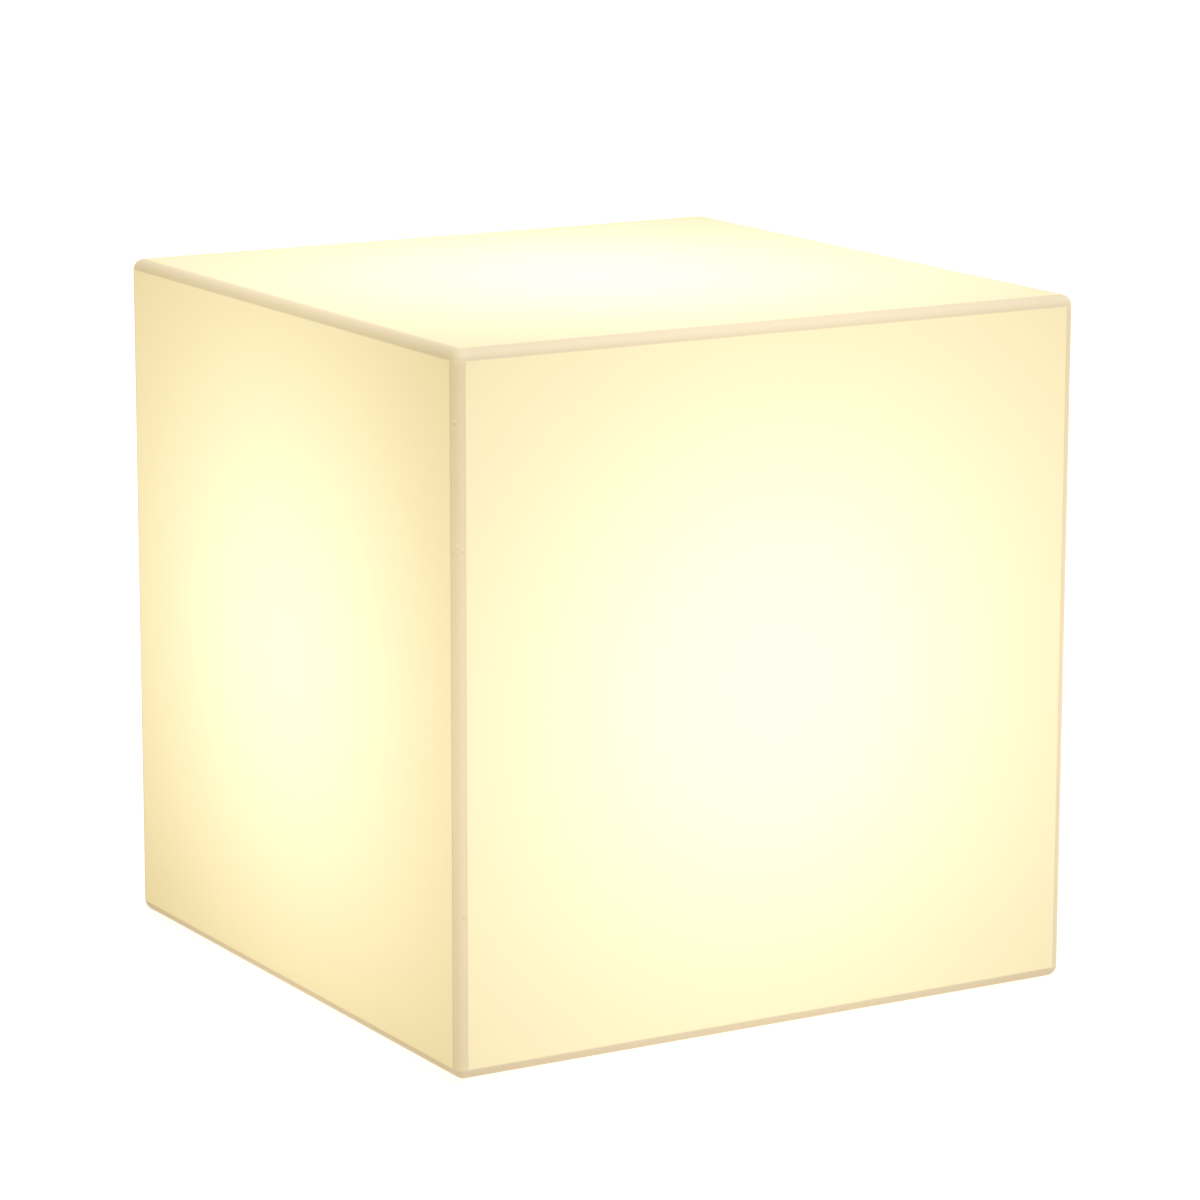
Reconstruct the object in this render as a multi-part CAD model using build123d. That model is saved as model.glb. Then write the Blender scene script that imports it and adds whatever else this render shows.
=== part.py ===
from build123d import *
from math import ceil, cos, radians, sin, sqrt
import os

# LED cube light: a moulded polyethylene cube that stands on a screwed-in base plate and is lit
# from its middle by a screw-in bulb on a mast. Millimetres. The origin is on the ground under
# the cube's centre, +Z is up, and the supply cord leaves at the back, +Y. Screw threads are
# left plain, with a running clearance between thread and thread.

# ---- Driving dimensions ----

# Shell
cube_side = 400.0
edge_radius = 6.4
shell_wall = 4.0
least_inner_radius = 1.0    # inside the moulded edges, where the wall is thick
ground_gap = 3.0            # the feet hold the shell's underside this far off the ground

# Base plate and its seat in the shell
plate_side = 320.0
plate_corner = 18.0
plate_thickness = 4.0
plate_recess = 6.0          # plate's underside above the shell's underside
seat_clearance = 0.8        # between the plate's edge and the shell's rebate
ledge_width = 16.0          # shell's ledge that the plate is screwed to
lip_round = 1.5             # rounding of the rebate's lower edge
rim_clearance = 1.0         # locating rim inside the shell's opening
rim_thickness = 2.5
rim_height = 8.0
opening_corner = 14.0
rib_thickness = 2.4
rib_height = 8.0
rib_gap = 12.0              # between the terminal box and the ribs beside it
pad_height = 4.0            # raised pads under the mast's foot and the terminal box
blind_skin = 1.5            # plate left under a blind hole
gasket_thickness = 2.0
gasket_margin = 1.0         # gasket inside the plate's edge and outside the shell's opening

# Screws and inserts
screw_diameter = 4.0
screw_clearance = 0.1       # radial, shank to insert
tapped_clearance = 0.05     # radial, shank to the hole that it is screwed into
through_clearance = 0.25    # radial, shank to a hole that it only passes through
pan_head_diameter = 7.6
pan_head_height = 2.6
pan_head_round = 1.3
flat_head_diameter = 8.0
recess_span = 4.0           # cross recess in a screw's head
recess_width = 1.0
recess_depth = 1.2
slot_width = 0.5            # slot in a small screw's end
slot_depth = 0.6
hole_end_gap = 0.5          # past a screw's tip
plate_screw_length = 16.0
plate_screw_spread = 180.0  # between the two screws on each side of the plate
plate_screws_a_side = 2
insert_diameter = 6.0
insert_length = 10.0
insert_clearance = 0.05
boss_wall = 3.0             # plastic round an insert and past its end

# Feet
foot_offset = 126.0         # each foot's place along X and Y from the centre
foot_diameter = 30.0
foot_tread_diameter = 26.0
foot_head_depth = 5.0       # depth of the hole that takes the screw's head
foot_head_clearance = 0.8
foot_screw_length = 14.0
foot_boss_diameter = 10.0

# Supply cord's way in
cord_diameter = 7.5
cord_side_room = 1.25       # each side of the cord in the shell's groove
seal_clearance = 0.05       # radial, seal to cord
cord_way_clearance = 0.85   # radial, cord to the gland's body and nut
gland_thread_diameter = 16.0
gland_thread_clearance = 0.1
gland_hole_clearance = 0.15
gland_across_flats = 20.0
gland_flange = 5.0
gland_washer_thickness = 1.5
gland_collar = 8.0          # threaded collar that the nut runs on
gland_nut_gap = 0.5         # nut to flange
gland_nut_pitch = 1.5
gland_nut_turns = 3
gland_mouth = 3.0           # nut's end wall
gland_thread_past_nut = 1.5
locknut_thickness = 5.0
seal_diameter = 12.4
seal_length = 10.0
seal_slip = 0.1             # seal to the bores that it moves in
seal_end_gap = 0.1
well_width = 50.0
well_wall = 3.0
well_rim_gap = 0.5          # between the gland's housing and the plate's locating rim
well_flange = 10.0
well_flange_thickness = 3.0
well_screw_length = 8.0
gland_floor_gap = 2.5       # between the locknut's corners and the box's floor
well_head_room = 3.5        # between the gland's corners and the well's ceiling
well_corner = 4.0
well_inner_corner = 2.5
well_roof_round = 2.0

# Terminal box
box_width = 68.0
box_length = 46.0
box_height = 33.0
box_wall = 2.5
box_corner = 4.0
box_gap = 2.0               # between the mast's foot and the box
lid_thickness = 2.5
lid_round = 1.0
pillar_diameter = 8.0
pillar_merge = 1.25         # how far a pillar runs into the box's side wall
lid_screw_length = 12.0
box_screw_length = 8.0
box_screw_spread = 42.0
box_screw_setback = 12.0    # from the box's front wall
block_width = 20.0
block_length = 20.0
block_height = 17.0
block_round = 1.0
block_setback = 4.0         # from the box's inner front face
pole_spacing = 8.0
pole_height = 9.5
pole_diameter = 5.0
pole_bore = 3.0
pole_clearance = 0.05
block_screw_diameter = 3.0
block_screw_length = 16.0
block_head_diameter = 4.0
block_head_height = 1.5
terminal_screw_diameter = 2.5
terminal_screw_length = 5.0
terminal_screw_lift = 0.75  # screw's lower end above the pole's middle
terminal_screw_spread = 11.0
grommet_diameter = 18.4
grommet_neck_diameter = 15.4
grommet_flange = 1.5
grommet_clearance = 0.1

# Wires
wire_diameter = 2.4
wire_clearance = 0.1        # radial, in the grommet
wire_foot_bend = 10.0
wire_draw_start = 0.3       # the pair draws together between these parts of the height
wire_draw_end = 0.7         # from the foot bend to the nipple
wire_head_bend = 3.2
nipple_wire_spacing = 3.6

# Mast
mast_diameter = 28.0
mast_wall = 2.0
mast_clearance = 0.15
foot_flange_diameter = 60.0
foot_flange = 4.0
foot_flange_chamfer = 1.0
foot_collar_wall = 4.0
foot_collar_height = 40.0
foot_screw_circle = 48.0
mast_foot_screws = 4
mast_foot_screw_length = 10.0
wire_slot_room = 2.3        # each side of the wires in the collar's slot
tube_seat_step = 4.5        # above the wire slot
set_screw_height = 12.0     # above the tube's seat
set_screw_inset = 0.15
set_screw_socket = 2.0
plug_flange = 4.0
plug_depth = 10.0
plug_clearance = 0.1
nipple_diameter = 10.0
nipple_bore = 7.0
nipple_clearance = 0.1
nipple_past_nut = 2.0
nipple_nut_flats = 14.0
nipple_nut_thickness = 4.0

# Lamp holder
holder_diameter = 40.0
holder_wall = 2.0
holder_floor = 2.4
holder_cap_round = 4.0
holder_cap_height = 17.0    # from the holder's underside to the core's underside
core_diameter = 32.8
core_thickness = 8.0
core_chamfer = 0.8
core_clearance = 0.1
core_ledge_width = 1.6
core_ledge_height = 3.0
joint_height = 2.0          # joint between cap and skirt, above the core's underside
spigot_height = 4.0
spigot_clearance = 0.1
sleeve_wall = 0.6
sleeve_length = 25.0
sleeve_clearance = 0.3      # radial, sleeve to the bulb's cap
skirt_head_room = 1.0       # skirt's lip above the sleeve
skirt_lip = 3.0
skirt_round = 1.5
skirt_lip_clearance = 1.8   # radial, lip to the bulb's cap
leaf_width = 7.0
leaf_thickness = 0.6
leaf_rise = 4.0
leaf_gap = 0.1
leaf_foot_outer = 12.0
leaf_foot_inner = 6.0
leaf_tip_half = 3.5
wire_terminal_width = 6.0
wire_terminal_depth = 8.0
wire_terminal_height = 8.0
wire_terminal_inner = 7.0   # from the axis to the terminal's inner face
terminal_grip_length = 4.0
grip_head_diameter = 5.0
grip_head_height = 1.25

# Bulb
globe_diameter = 60.0
globe_wall = 1.2
globe_joint_angle = 34.5    # below the globe's middle, where the housing takes over
globe_centre_above_tip = 78.0
bulb_cap_diameter = 26.4
bulb_cap_wall = 0.5
bulb_thread_pitch = 3.629
bulb_turns = 5
contact_diameter = 9.0
contact_thickness = 1.2
contact_chamfer = 0.4
contact_stem_diameter = 2.4
contact_stem_length = 1.8
contact_stem_clearance = 0.05
insulator_height = 3.3
insulator_base_diameter = 11.0
insulator_diameter = 17.6
insulator_spigot_diameter = 16.6
insulator_spigot_height = 1.4
insulator_clearance = 0.1
bulb_cap_cone = 2.0
bulb_cap_lower_diameter = 18.4
housing_gap = 1.0           # above the holder's lip
housing_neck_diameter = 29.0
housing_spigot_length = 10.0
housing_wall = 1.5
heat_seat_below_joint = 4.0
heat_seat_step = 2.0
heat_plate_thickness = 2.0
heat_plate_clearance = 0.2
board_inset = 1.0
board_thickness = 1.6
led_count = 12
led_circle = 28.0
led_size = 3.0
led_height = 0.8
driver_thickness = 1.2
driver_end_gap = 0.3
driver_head_gap = 0.2
capacitor_diameter = 8.0
capacitor_length = 12.0
coil_width = 10.0
coil_depth = 7.0
coil_height = 9.0
driver_parts_below_plate = 8.0

lift_clearance = 12.0       # shell above the bulb when it is lifted off
over = 1.0                  # how far a cutting shape runs past what it cuts

# ---- Places worked out from the driving dimensions ----

# Shell and plate
shell_bottom = ground_gap
shell_top = shell_bottom + cube_side
plate_bottom = shell_bottom + plate_recess
plate_top = plate_bottom + plate_thickness
ledge_bottom = plate_top + gasket_thickness
ledge_top = ledge_bottom + shell_wall
pad_top = plate_top + pad_height
rebate_side = plate_side + 2 * seat_clearance
opening_side = plate_side - 2 * ledge_width
rim_side = opening_side - 2 * rim_clearance
screw_line = plate_side / 2 - ledge_width / 2
blind_hole_bottom = plate_bottom + blind_skin
boss_diameter = insert_diameter + 2 * boss_wall
tapped_radius = screw_diameter / 2 + tapped_clearance
through_radius = screw_diameter / 2 + through_clearance
foot_screw_seat = foot_head_depth
foot_boss_top = foot_screw_seat + foot_screw_length + hole_end_gap + blind_skin

# Terminal box, between the mast's foot and the cord well
box_front = foot_flange_diameter / 2 + box_gap
box_back = box_front + box_length
box_floor_top = pad_top + box_wall
box_top = pad_top + box_height
pole_level = box_floor_top + pole_height
block_front = box_front + box_wall + block_setback
block_back = block_front + block_length
block_middle = (block_front + block_back) / 2
block_top = box_floor_top + block_height
box_screw_line = box_front + box_screw_setback

# Cord well and gland: the gland's own axis starts at the well's front wall and points to +Y
cord_radius = cord_diameter / 2
gland_corner_radius = gland_across_flats / 2 / cos(radians(30))
well_front = box_back
well_start = well_front + well_wall
well_back = rim_side / 2 - rim_thickness - well_rim_gap
well_end = well_back - well_wall
well_half = well_width / 2
well_flange_top = pad_top + well_flange_thickness
gland_level = box_floor_top + gland_corner_radius + gland_floor_gap
well_ceiling = gland_level + gland_corner_radius + well_head_room
gland_flange_start = gland_washer_thickness
gland_collar_start = gland_flange_start + gland_flange
gland_collar_end = gland_collar_start + gland_collar
gland_inner_face = -(well_wall + box_wall)
gland_thread_end = gland_inner_face - locknut_thickness - gland_thread_past_nut
seal_start = gland_collar_start + gland_nut_gap + gland_thread_past_nut
seal_end = seal_start + seal_length
gland_nut_start = gland_collar_start + gland_nut_gap
gland_nut_end = seal_end + seal_end_gap + gland_mouth
gland_bore_radius = cord_radius + cord_way_clearance
groove_radius = cord_radius + cord_side_room

# Mast
flange_top = pad_top + foot_flange
collar_bore_radius = mast_diameter / 2 + mast_clearance
collar_radius = collar_bore_radius + foot_collar_wall
collar_top = pad_top + foot_collar_height
mast_bore_radius = mast_diameter / 2 - mast_wall
wire_slot_top = pole_level + wire_diameter / 2 + wire_slot_room
tube_seat = wire_slot_top + tube_seat_step
wire_slot_width = pole_spacing + wire_diameter + 2 * wire_slot_room

# Bulb and holder, downwards from the light's centre
light_centre = shell_bottom + cube_side / 2
bulb_tip = light_centre - globe_centre_above_tip
globe_radius = globe_diameter / 2
bulb_top = light_centre + globe_radius
globe_joint = light_centre - globe_radius * sin(radians(globe_joint_angle))
globe_joint_radius = globe_radius * cos(radians(globe_joint_angle))
core_top = bulb_tip - leaf_rise
core_bottom = core_top - core_thickness
holder_bottom = core_bottom - holder_cap_height
holder_joint = core_bottom + joint_height
sleeve_radius = bulb_cap_diameter / 2 + sleeve_clearance
sleeve_top = core_top + sleeve_length
skirt_top = sleeve_top + skirt_head_room + skirt_lip
holder_radius = holder_diameter / 2
spigot_radius = holder_radius - holder_wall - spigot_clearance
core_seat_radius = core_diameter / 2 + core_clearance
mast_top = holder_bottom - plug_flange
nipple_nut_top = holder_bottom + holder_floor + nipple_nut_thickness
lower_nut_top = mast_top - plug_depth
nipple_top = nipple_nut_top + nipple_past_nut
nipple_bottom = lower_nut_top - nipple_nut_thickness - nipple_past_nut
wire_terminal_bottom = core_bottom - wire_terminal_height
wire_terminal_middle = wire_terminal_bottom + wire_terminal_height / 2
wire_rise_start = pole_level + wire_foot_bend
wire_rise = nipple_bottom - wire_rise_start
wire_draw_low = wire_rise_start + wire_draw_start * wire_rise
wire_draw_high = wire_rise_start + wire_draw_end * wire_rise
wire_draw_bend = wire_draw_high - wire_draw_low

insulator_bottom = bulb_tip + contact_thickness
bulb_cap_bottom = insulator_bottom + insulator_height
housing_bottom = skirt_top + housing_gap
housing_neck_radius = housing_neck_diameter / 2
spigot_bottom = housing_bottom - housing_spigot_length
heat_seat = globe_joint - heat_seat_below_joint
heat_plate_top = heat_seat + heat_plate_thickness
board_top = heat_plate_top + board_thickness

# The housing's outline is one arc that leaves the neck straight up and ends at the globe
flare = globe_joint_radius - housing_neck_radius
flare_height = globe_joint - housing_bottom
flare_radius = (flare ** 2 + flare_height ** 2) / (2 * flare)


def housing_radius(z):
    """Outer radius of the bulb's housing at a height: the arc's circle."""
    return housing_neck_radius + flare_radius - sqrt(flare_radius ** 2 - (z - housing_bottom) ** 2)


heat_seat_radius = housing_radius(heat_seat) - housing_wall
housing_bore_radius = bulb_cap_diameter / 2 - bulb_cap_wall - insulator_clearance - housing_wall


# ---- Small shapes ----

def block(x, y, z):
    """A box between two values on each axis."""
    size = Box(x[1] - x[0], y[1] - y[0], z[1] - z[0])
    return Pos((x[0] + x[1]) / 2, (y[0] + y[1]) / 2, (z[0] + z[1]) / 2) * size


def rod(radius, low, high):
    """A cylinder on the vertical axis between two heights."""
    return Pos(0, 0, (low + high) / 2) * Cylinder(radius, high - low)


def tube(outer, inner, low, high):
    """A hollow cylinder on the vertical axis between two heights."""
    return rod(outer, low, high) - rod(inner, low - over, high + over)


def slab(side, corner, low, high):
    """A square with rounded corners, centred on the vertical axis, between two heights."""
    return Pos(0, 0, low) * extrude(RectangleRounded(side, side, corner), high - low)


def hexagon(flats, low, high):
    """A hexagonal bar on the vertical axis between two heights."""
    return Pos(0, 0, low) * extrude(RegularPolygon(flats / 2, 6, major_radius=False), high - low)


def turned(points):
    """A solid of revolution about the vertical axis from (radius, height) points."""
    outline = Polyline(*[(radius, 0, height) for radius, height in points], close=True)
    return revolve(make_face(outline), Axis.Z)


def on_ring(radius, count, start=0.0):
    """Places on a circle about the vertical axis, each turned to face outwards."""
    return [Rot(0, 0, start + 360 / count * i) * Pos(radius, 0, 0) for i in range(count)]


def at_corners(x, y):
    """The four places at plus and minus x and y."""
    return [Pos(sx * x, sy * y, 0) for sx in (-1, 1) for sy in (-1, 1)]


def as_gland(shape):
    """Turns a shape built along +Z to lie along the gland's axis."""
    return Pos(0, well_start, gland_level) * Rot(-90, 0, 0) * shape


def upside_down(shape, height):
    """Turns a screw so that its shank points down from a height."""
    return Pos(0, 0, height) * Rot(180, 0, 0) * shape


def cross_recess(face):
    """The cutter of a cross recess, up from a head's outer face."""
    span = (-recess_span / 2, recess_span / 2)
    width = (-recess_width / 2, recess_width / 2)
    depth = (face - over, face + recess_depth)
    return block(span, width, depth) + block(width, span, depth)


def screw_slot(diameter, face, depth):
    """The cutter of a straight slot across a screw's end, to a depth from its face."""
    half = diameter / 2 + over
    far = face - over * depth / abs(depth)
    heights = (min(far, face + depth), max(far, face + depth))
    return block((-half, half), (-slot_width / 2, slot_width / 2), heights)


def pan_screw(length):
    """A pan-head screw with its shank up from zero and its head below."""
    head = rod(pan_head_diameter / 2, -pan_head_height, 0)
    head = fillet(head.edges().group_by(Axis.Z)[0], pan_head_round)
    return head + rod(screw_diameter / 2, 0, length) - cross_recess(-pan_head_height)


def flat_screw(length):
    """A countersunk screw whose flat head starts at zero, with its shank up."""
    cone = (flat_head_diameter - screw_diameter) / 2
    shape = turned([
        (0, 0),
        (flat_head_diameter / 2, 0),
        (screw_diameter / 2, cone),
        (screw_diameter / 2, length),
        (0, length),
    ])
    return shape - cross_recess(0)


def plate_screw_places():
    """Two screws on each side of the plate, over the middle of the shell's ledge."""
    step = plate_screw_spread / (plate_screws_a_side - 1)
    along = [i * step - plate_screw_spread / 2 for i in range(plate_screws_a_side)]
    return [Rot(0, 0, 90 * side) * Pos(screw_line, y, 0) for side in range(4) for y in along]


def foot_places():
    return at_corners(foot_offset, foot_offset)


def mast_foot_screw_places():
    return on_ring(foot_screw_circle / 2, mast_foot_screws, 180 / mast_foot_screws)


def box_screw_places():
    return [Pos(side * box_screw_spread / 2, box_screw_line, 0) for side in (-1, 1)]


def well_screw_places():
    """Four screws in the gland housing's side flanges."""
    x = well_half + well_wall + well_flange / 2
    ys = (well_start + well_flange / 2, well_end - well_flange / 2)
    return [Pos(side * x, y, 0) for side in (-1, 1) for y in ys]


def lid_screw_places():
    """Screws in pillars that merge with the box's side walls."""
    x = box_width / 2 - box_wall - pillar_diameter / 2 + pillar_merge
    return [Pos(side * x, (box_front + box_back) / 2, 0) for side in (-1, 1)]


def group(shape, places):
    """One node of separate solids: the same shape at each place."""
    return Compound(children=[(place * shape).solid() for place in places])


# ---- Shell ----

def cube_shell():
    half = cube_side / 2
    outer = block((-half, half), (-half, half), (shell_bottom, shell_top))
    outer = fillet(outer.edges(), edge_radius)
    half_in = half - shell_wall
    inner = block((-half_in, half_in), (-half_in, half_in),
                  (shell_bottom + shell_wall, shell_top - shell_wall))
    inner = fillet(inner.edges(), max(edge_radius - shell_wall, least_inner_radius))
    shell = outer - inner

    # Rebate for the plate, with its ledge, and a boss over each insert
    rebate_corner = plate_corner + seat_clearance
    shell += slab(rebate_side + 2 * shell_wall, rebate_corner + shell_wall,
                  shell_bottom + shell_wall / 2, ledge_top)
    boss = rod(boss_diameter / 2, ledge_bottom + shell_wall / 2,
               ledge_bottom + insert_length + boss_wall)
    shell += [place * boss for place in plate_screw_places()]
    shell -= slab(rebate_side, rebate_corner, shell_bottom - over, ledge_bottom)
    lip = shell.edges().group_by(Axis.Z)[0].filter_by(
        lambda edge: abs(edge.center().X) < rebate_side / 2 + shell_wall
        and abs(edge.center().Y) < rebate_side / 2 + shell_wall)
    shell = fillet(lip, lip_round)
    shell -= slab(opening_side, opening_corner, shell_bottom, ledge_top + over)
    hole = rod(insert_diameter / 2 + insert_clearance, ledge_bottom - over,
               ledge_bottom + insert_length + hole_end_gap)
    shell -= [place * hole for place in plate_screw_places()]

    # Groove that lets the supply cord out under the back wall
    start = rebate_side / 2
    shell += cord_arch(groove_radius + shell_wall, start, half - shell_wall / 2,
                       shell_bottom + shell_wall / 2)
    shell -= cord_arch(groove_radius, start - over, half + over, -over)
    return shell


def cord_arch(radius, start, end, low):
    """A round-topped bar along Y that stands on a height, over the cord's way out."""
    sides = block((-radius, radius), (start, end), (-over, groove_radius))
    roof = Pos(0, (start + end) / 2, groove_radius) * Rot(90, 0, 0) * Cylinder(radius, end - start)
    keep = block((-radius, radius), (start, end), (low, groove_radius + radius))
    return (sides + roof) & keep


def threaded_inserts():
    insert = tube(insert_diameter / 2, screw_diameter / 2 + screw_clearance,
                  ledge_bottom, ledge_bottom + insert_length)
    return group(insert, plate_screw_places())


# ---- Base ----

def base_plate():
    plate = slab(plate_side, plate_corner, plate_bottom, plate_top)
    rim = slab(rim_side, opening_corner - rim_clearance, plate_top - over, plate_top + rim_height)
    rim -= slab(rim_side - 2 * rim_thickness, opening_corner - rim_clearance - rim_thickness,
                plate_top - 2 * over, plate_top + rim_height + over)
    plate += rim
    plate += plate_ribs()

    # Pads that carry the mast's foot and the terminal box
    plate += rod(foot_flange_diameter / 2 + box_gap / 2, plate_top - over, pad_top)
    plate += block((-box_width / 2, box_width / 2), (0, box_back), (plate_top - over, pad_top))
    foot_boss = rod(foot_boss_diameter / 2, plate_top - over, foot_boss_top)
    plate += [place * foot_boss for place in foot_places()]

    # Window under the gland's housing, where the supply cord comes in
    flange_half = well_half + well_wall + well_flange
    plate += block((-flange_half, flange_half), (well_front, rim_side / 2 - rim_thickness / 2),
                   (plate_top - over, pad_top))
    window = block((-well_half, well_half), (well_start, well_end),
                   (plate_bottom - over, pad_top + over))
    plate -= fillet(window.edges().filter_by(Axis.Z), well_inner_corner)

    # Screw holes
    cone = (flat_head_diameter - screw_diameter) / 2 + through_clearance
    countersink = turned([
        (0, plate_bottom - over),
        (through_radius + cone + over, plate_bottom - over),
        (through_radius, plate_bottom + cone),
        (through_radius, plate_top + over),
        (0, plate_top + over),
    ])
    plate -= [place * countersink for place in plate_screw_places()]
    foot_hole = rod(tapped_radius, plate_bottom - over, foot_boss_top - blind_skin)
    plate -= [place * foot_hole for place in foot_places()]
    pad_hole = rod(tapped_radius, blind_hole_bottom, pad_top + over)
    pad_places = mast_foot_screw_places() + box_screw_places() + well_screw_places()
    plate -= [place * pad_hole for place in pad_places]
    return plate


def plate_ribs():
    """Stiffening ribs: beside the mast and the boxes, and three short ones to the rim."""
    rib = (-rib_thickness / 2, rib_thickness / 2)
    height = (plate_top - over, plate_top + rib_height)
    reach = rim_side / 2 - rim_thickness / 2    # middle of the rim
    offset = box_width / 2 + rib_gap
    pad = foot_flange_diameter / 2
    ribs = [Pos(side * offset, 0, 0) * block(rib, (-reach, reach), height) for side in (-1, 1)]
    ribs.append(Pos(0, -offset, 0) * block((-reach, reach), rib, height))
    ribs += [Pos(0, offset, 0) * block(x, rib, height) for x in ((-reach, -offset), (offset, reach))]
    ribs += [block(x, rib, height) for x in ((-reach, -pad), (pad, reach))]
    ribs.append(block(rib, (-reach, -pad), height))
    return ribs


def gland_housing():
    """Open-bottomed cover over the plate's window, with the gland in its front wall."""
    outer = well_half + well_wall
    cover = block((-outer, outer), (well_front, well_back), (pad_top, well_ceiling + well_wall))
    cover = fillet(cover.edges().filter_by(Axis.Z), well_corner)
    cover = fillet(cover.edges().group_by(Axis.Z)[-1], well_roof_round)
    flange = block((-outer - well_flange, outer + well_flange), (well_start, well_end),
                   (pad_top, well_flange_top))
    cover += fillet(flange.edges().filter_by(Axis.Z), well_corner)
    space = block((-well_half, well_half), (well_start, well_end), (pad_top - over, well_ceiling))
    cover -= fillet(space.edges().filter_by(Axis.Z), well_inner_corner)
    gland_hole = gland_thread_diameter / 2 + gland_hole_clearance
    cover -= as_gland(rod(gland_hole, -well_wall - over, over))
    screw_hole = rod(through_radius, pad_top - over, well_flange_top + over)
    return cover - [place * screw_hole for place in well_screw_places()]


def gland_housing_screws():
    return group(upside_down(pan_screw(well_screw_length), well_flange_top), well_screw_places())


def base_gasket():
    outer = plate_side - 2 * gasket_margin
    inner = opening_side + 2 * gasket_margin
    gasket = slab(outer, plate_corner - gasket_margin, plate_top, ledge_bottom)
    gasket -= slab(inner, opening_corner + gasket_margin, plate_top - over, ledge_bottom + over)
    hole = rod(through_radius, plate_top - over, ledge_bottom + over)
    return gasket - [place * hole for place in plate_screw_places()]


def plate_screws():
    return group(Pos(0, 0, plate_bottom) * flat_screw(plate_screw_length), plate_screw_places())


def rubber_feet():
    head_hole = pan_head_diameter / 2 + foot_head_clearance
    foot = turned([
        (head_hole, 0),
        (foot_tread_diameter / 2, 0),
        (foot_diameter / 2, plate_bottom),
        (through_radius, plate_bottom),
        (through_radius, foot_screw_seat),
        (head_hole, foot_screw_seat),
    ])
    return group(foot, foot_places())


def foot_screws():
    return group(Pos(0, 0, foot_screw_seat) * pan_screw(foot_screw_length), foot_places())


# ---- Mast ----

def mast_foot():
    foot = rod(foot_flange_diameter / 2, pad_top, flange_top)
    foot = chamfer(foot.edges().group_by(Axis.Z)[-1], foot_flange_chamfer)
    foot += rod(collar_radius, pad_top + over, collar_top)
    foot -= rod(mast_bore_radius, flange_top, collar_top + over)
    foot -= rod(collar_bore_radius, tube_seat, collar_top + over)
    foot -= block((-wire_slot_width / 2, wire_slot_width / 2), (0, collar_radius + over),
                  (flange_top, wire_slot_top))
    hole = rod(through_radius, pad_top - over, flange_top + over)
    foot -= [place * hole for place in mast_foot_screw_places()]
    return foot - set_screw_shape(tapped_clearance, over)


def mast_foot_screws_group():
    screw = upside_down(pan_screw(mast_foot_screw_length), flange_top)
    return group(screw, mast_foot_screw_places())


def set_screw_shape(clearance=0.0, extra=0.0):
    """A headless screw that runs in from the collar's front to the mast's tube."""
    inner = mast_diameter / 2 + set_screw_inset / 2
    outer = collar_radius - set_screw_inset + extra
    shape = rod(screw_diameter / 2 + clearance, inner, outer)
    return Pos(0, 0, tube_seat + set_screw_height) * Rot(90, 0, 0) * shape


def mast_set_screw():
    outer = collar_radius - set_screw_inset
    socket = hexagon(set_screw_socket, outer - recess_depth, outer + over)
    return set_screw_shape() - Pos(0, 0, tube_seat + set_screw_height) * Rot(90, 0, 0) * socket


def mast_tube():
    return tube(mast_diameter / 2, mast_bore_radius, tube_seat, mast_top)


def mast_plug():
    plug = rod(mast_diameter / 2, mast_top, holder_bottom)
    plug += rod(mast_bore_radius - plug_clearance, lower_nut_top, mast_top + over)
    return plug - rod(nipple_diameter / 2 + nipple_clearance, lower_nut_top - over,
                      holder_bottom + over)


def threaded_nipple():
    return tube(nipple_diameter / 2, nipple_bore / 2, nipple_bottom, nipple_top)


def nipple_nuts():
    nut = hexagon(nipple_nut_flats, 0, nipple_nut_thickness)
    nut -= rod(nipple_diameter / 2 + nipple_clearance, -over, nipple_nut_thickness + over)
    lower = lower_nut_top - nipple_nut_thickness
    upper = nipple_nut_top - nipple_nut_thickness
    return group(nut, [Pos(0, 0, lower), Pos(0, 0, upper)])


# ---- Lamp holder ----

def holder_cap():
    ledge_radius = core_seat_radius - core_ledge_width
    cap = rod(holder_radius, holder_bottom, holder_joint)
    cap = fillet(cap.edges().group_by(Axis.Z)[0], holder_cap_round)
    cap += rod(spigot_radius, holder_joint - over, holder_joint + spigot_height)
    cap -= rod(core_seat_radius, core_bottom, holder_joint + spigot_height + over)
    cap -= rod(ledge_radius, core_bottom - core_ledge_height, core_bottom + over)
    cap -= rod(core_seat_radius, holder_bottom + holder_floor, core_bottom - core_ledge_height)
    return cap - rod(nipple_diameter / 2 + nipple_clearance, holder_bottom - over,
                     holder_bottom + holder_floor + over)


def holder_core():
    core = rod(core_diameter / 2, core_bottom, core_top)
    return chamfer(core.edges().group_by(Axis.Z)[-1], core_chamfer)


def holder_sleeve():
    return tube(sleeve_radius + sleeve_wall, sleeve_radius, core_top, sleeve_top)


def holder_contact():
    """A sprung leaf: a foot on the core, a slope, and a flat tip under the bulb's contact."""
    low = core_top
    high = bulb_tip - leaf_gap - leaf_thickness
    side = [
        (-leaf_foot_outer, low),
        (-leaf_foot_inner, low),
        (-leaf_tip_half, high),
        (leaf_tip_half, high),
    ]
    top = [(x, z + leaf_thickness) for x, z in reversed(side)]
    outline = Polyline(*[(x, 0, z) for x, z in side + top], close=True)
    return extrude(make_face(outline), leaf_width / 2, (0, 1, 0), both=True)


def holder_terminals():
    """Two clamps under the core, each with its screw across the wire."""
    clamp = block((wire_terminal_inner, wire_terminal_inner + wire_terminal_width),
                  (-wire_terminal_depth / 2, wire_terminal_depth / 2),
                  (wire_terminal_bottom, core_bottom))
    clamp -= Pos(wire_terminal_inner + wire_terminal_width / 2, 0, 0) * terminal_grip(tapped_clearance)
    return group(clamp, [Rot(0, 0, 0), Rot(0, 0, 180)])


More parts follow.
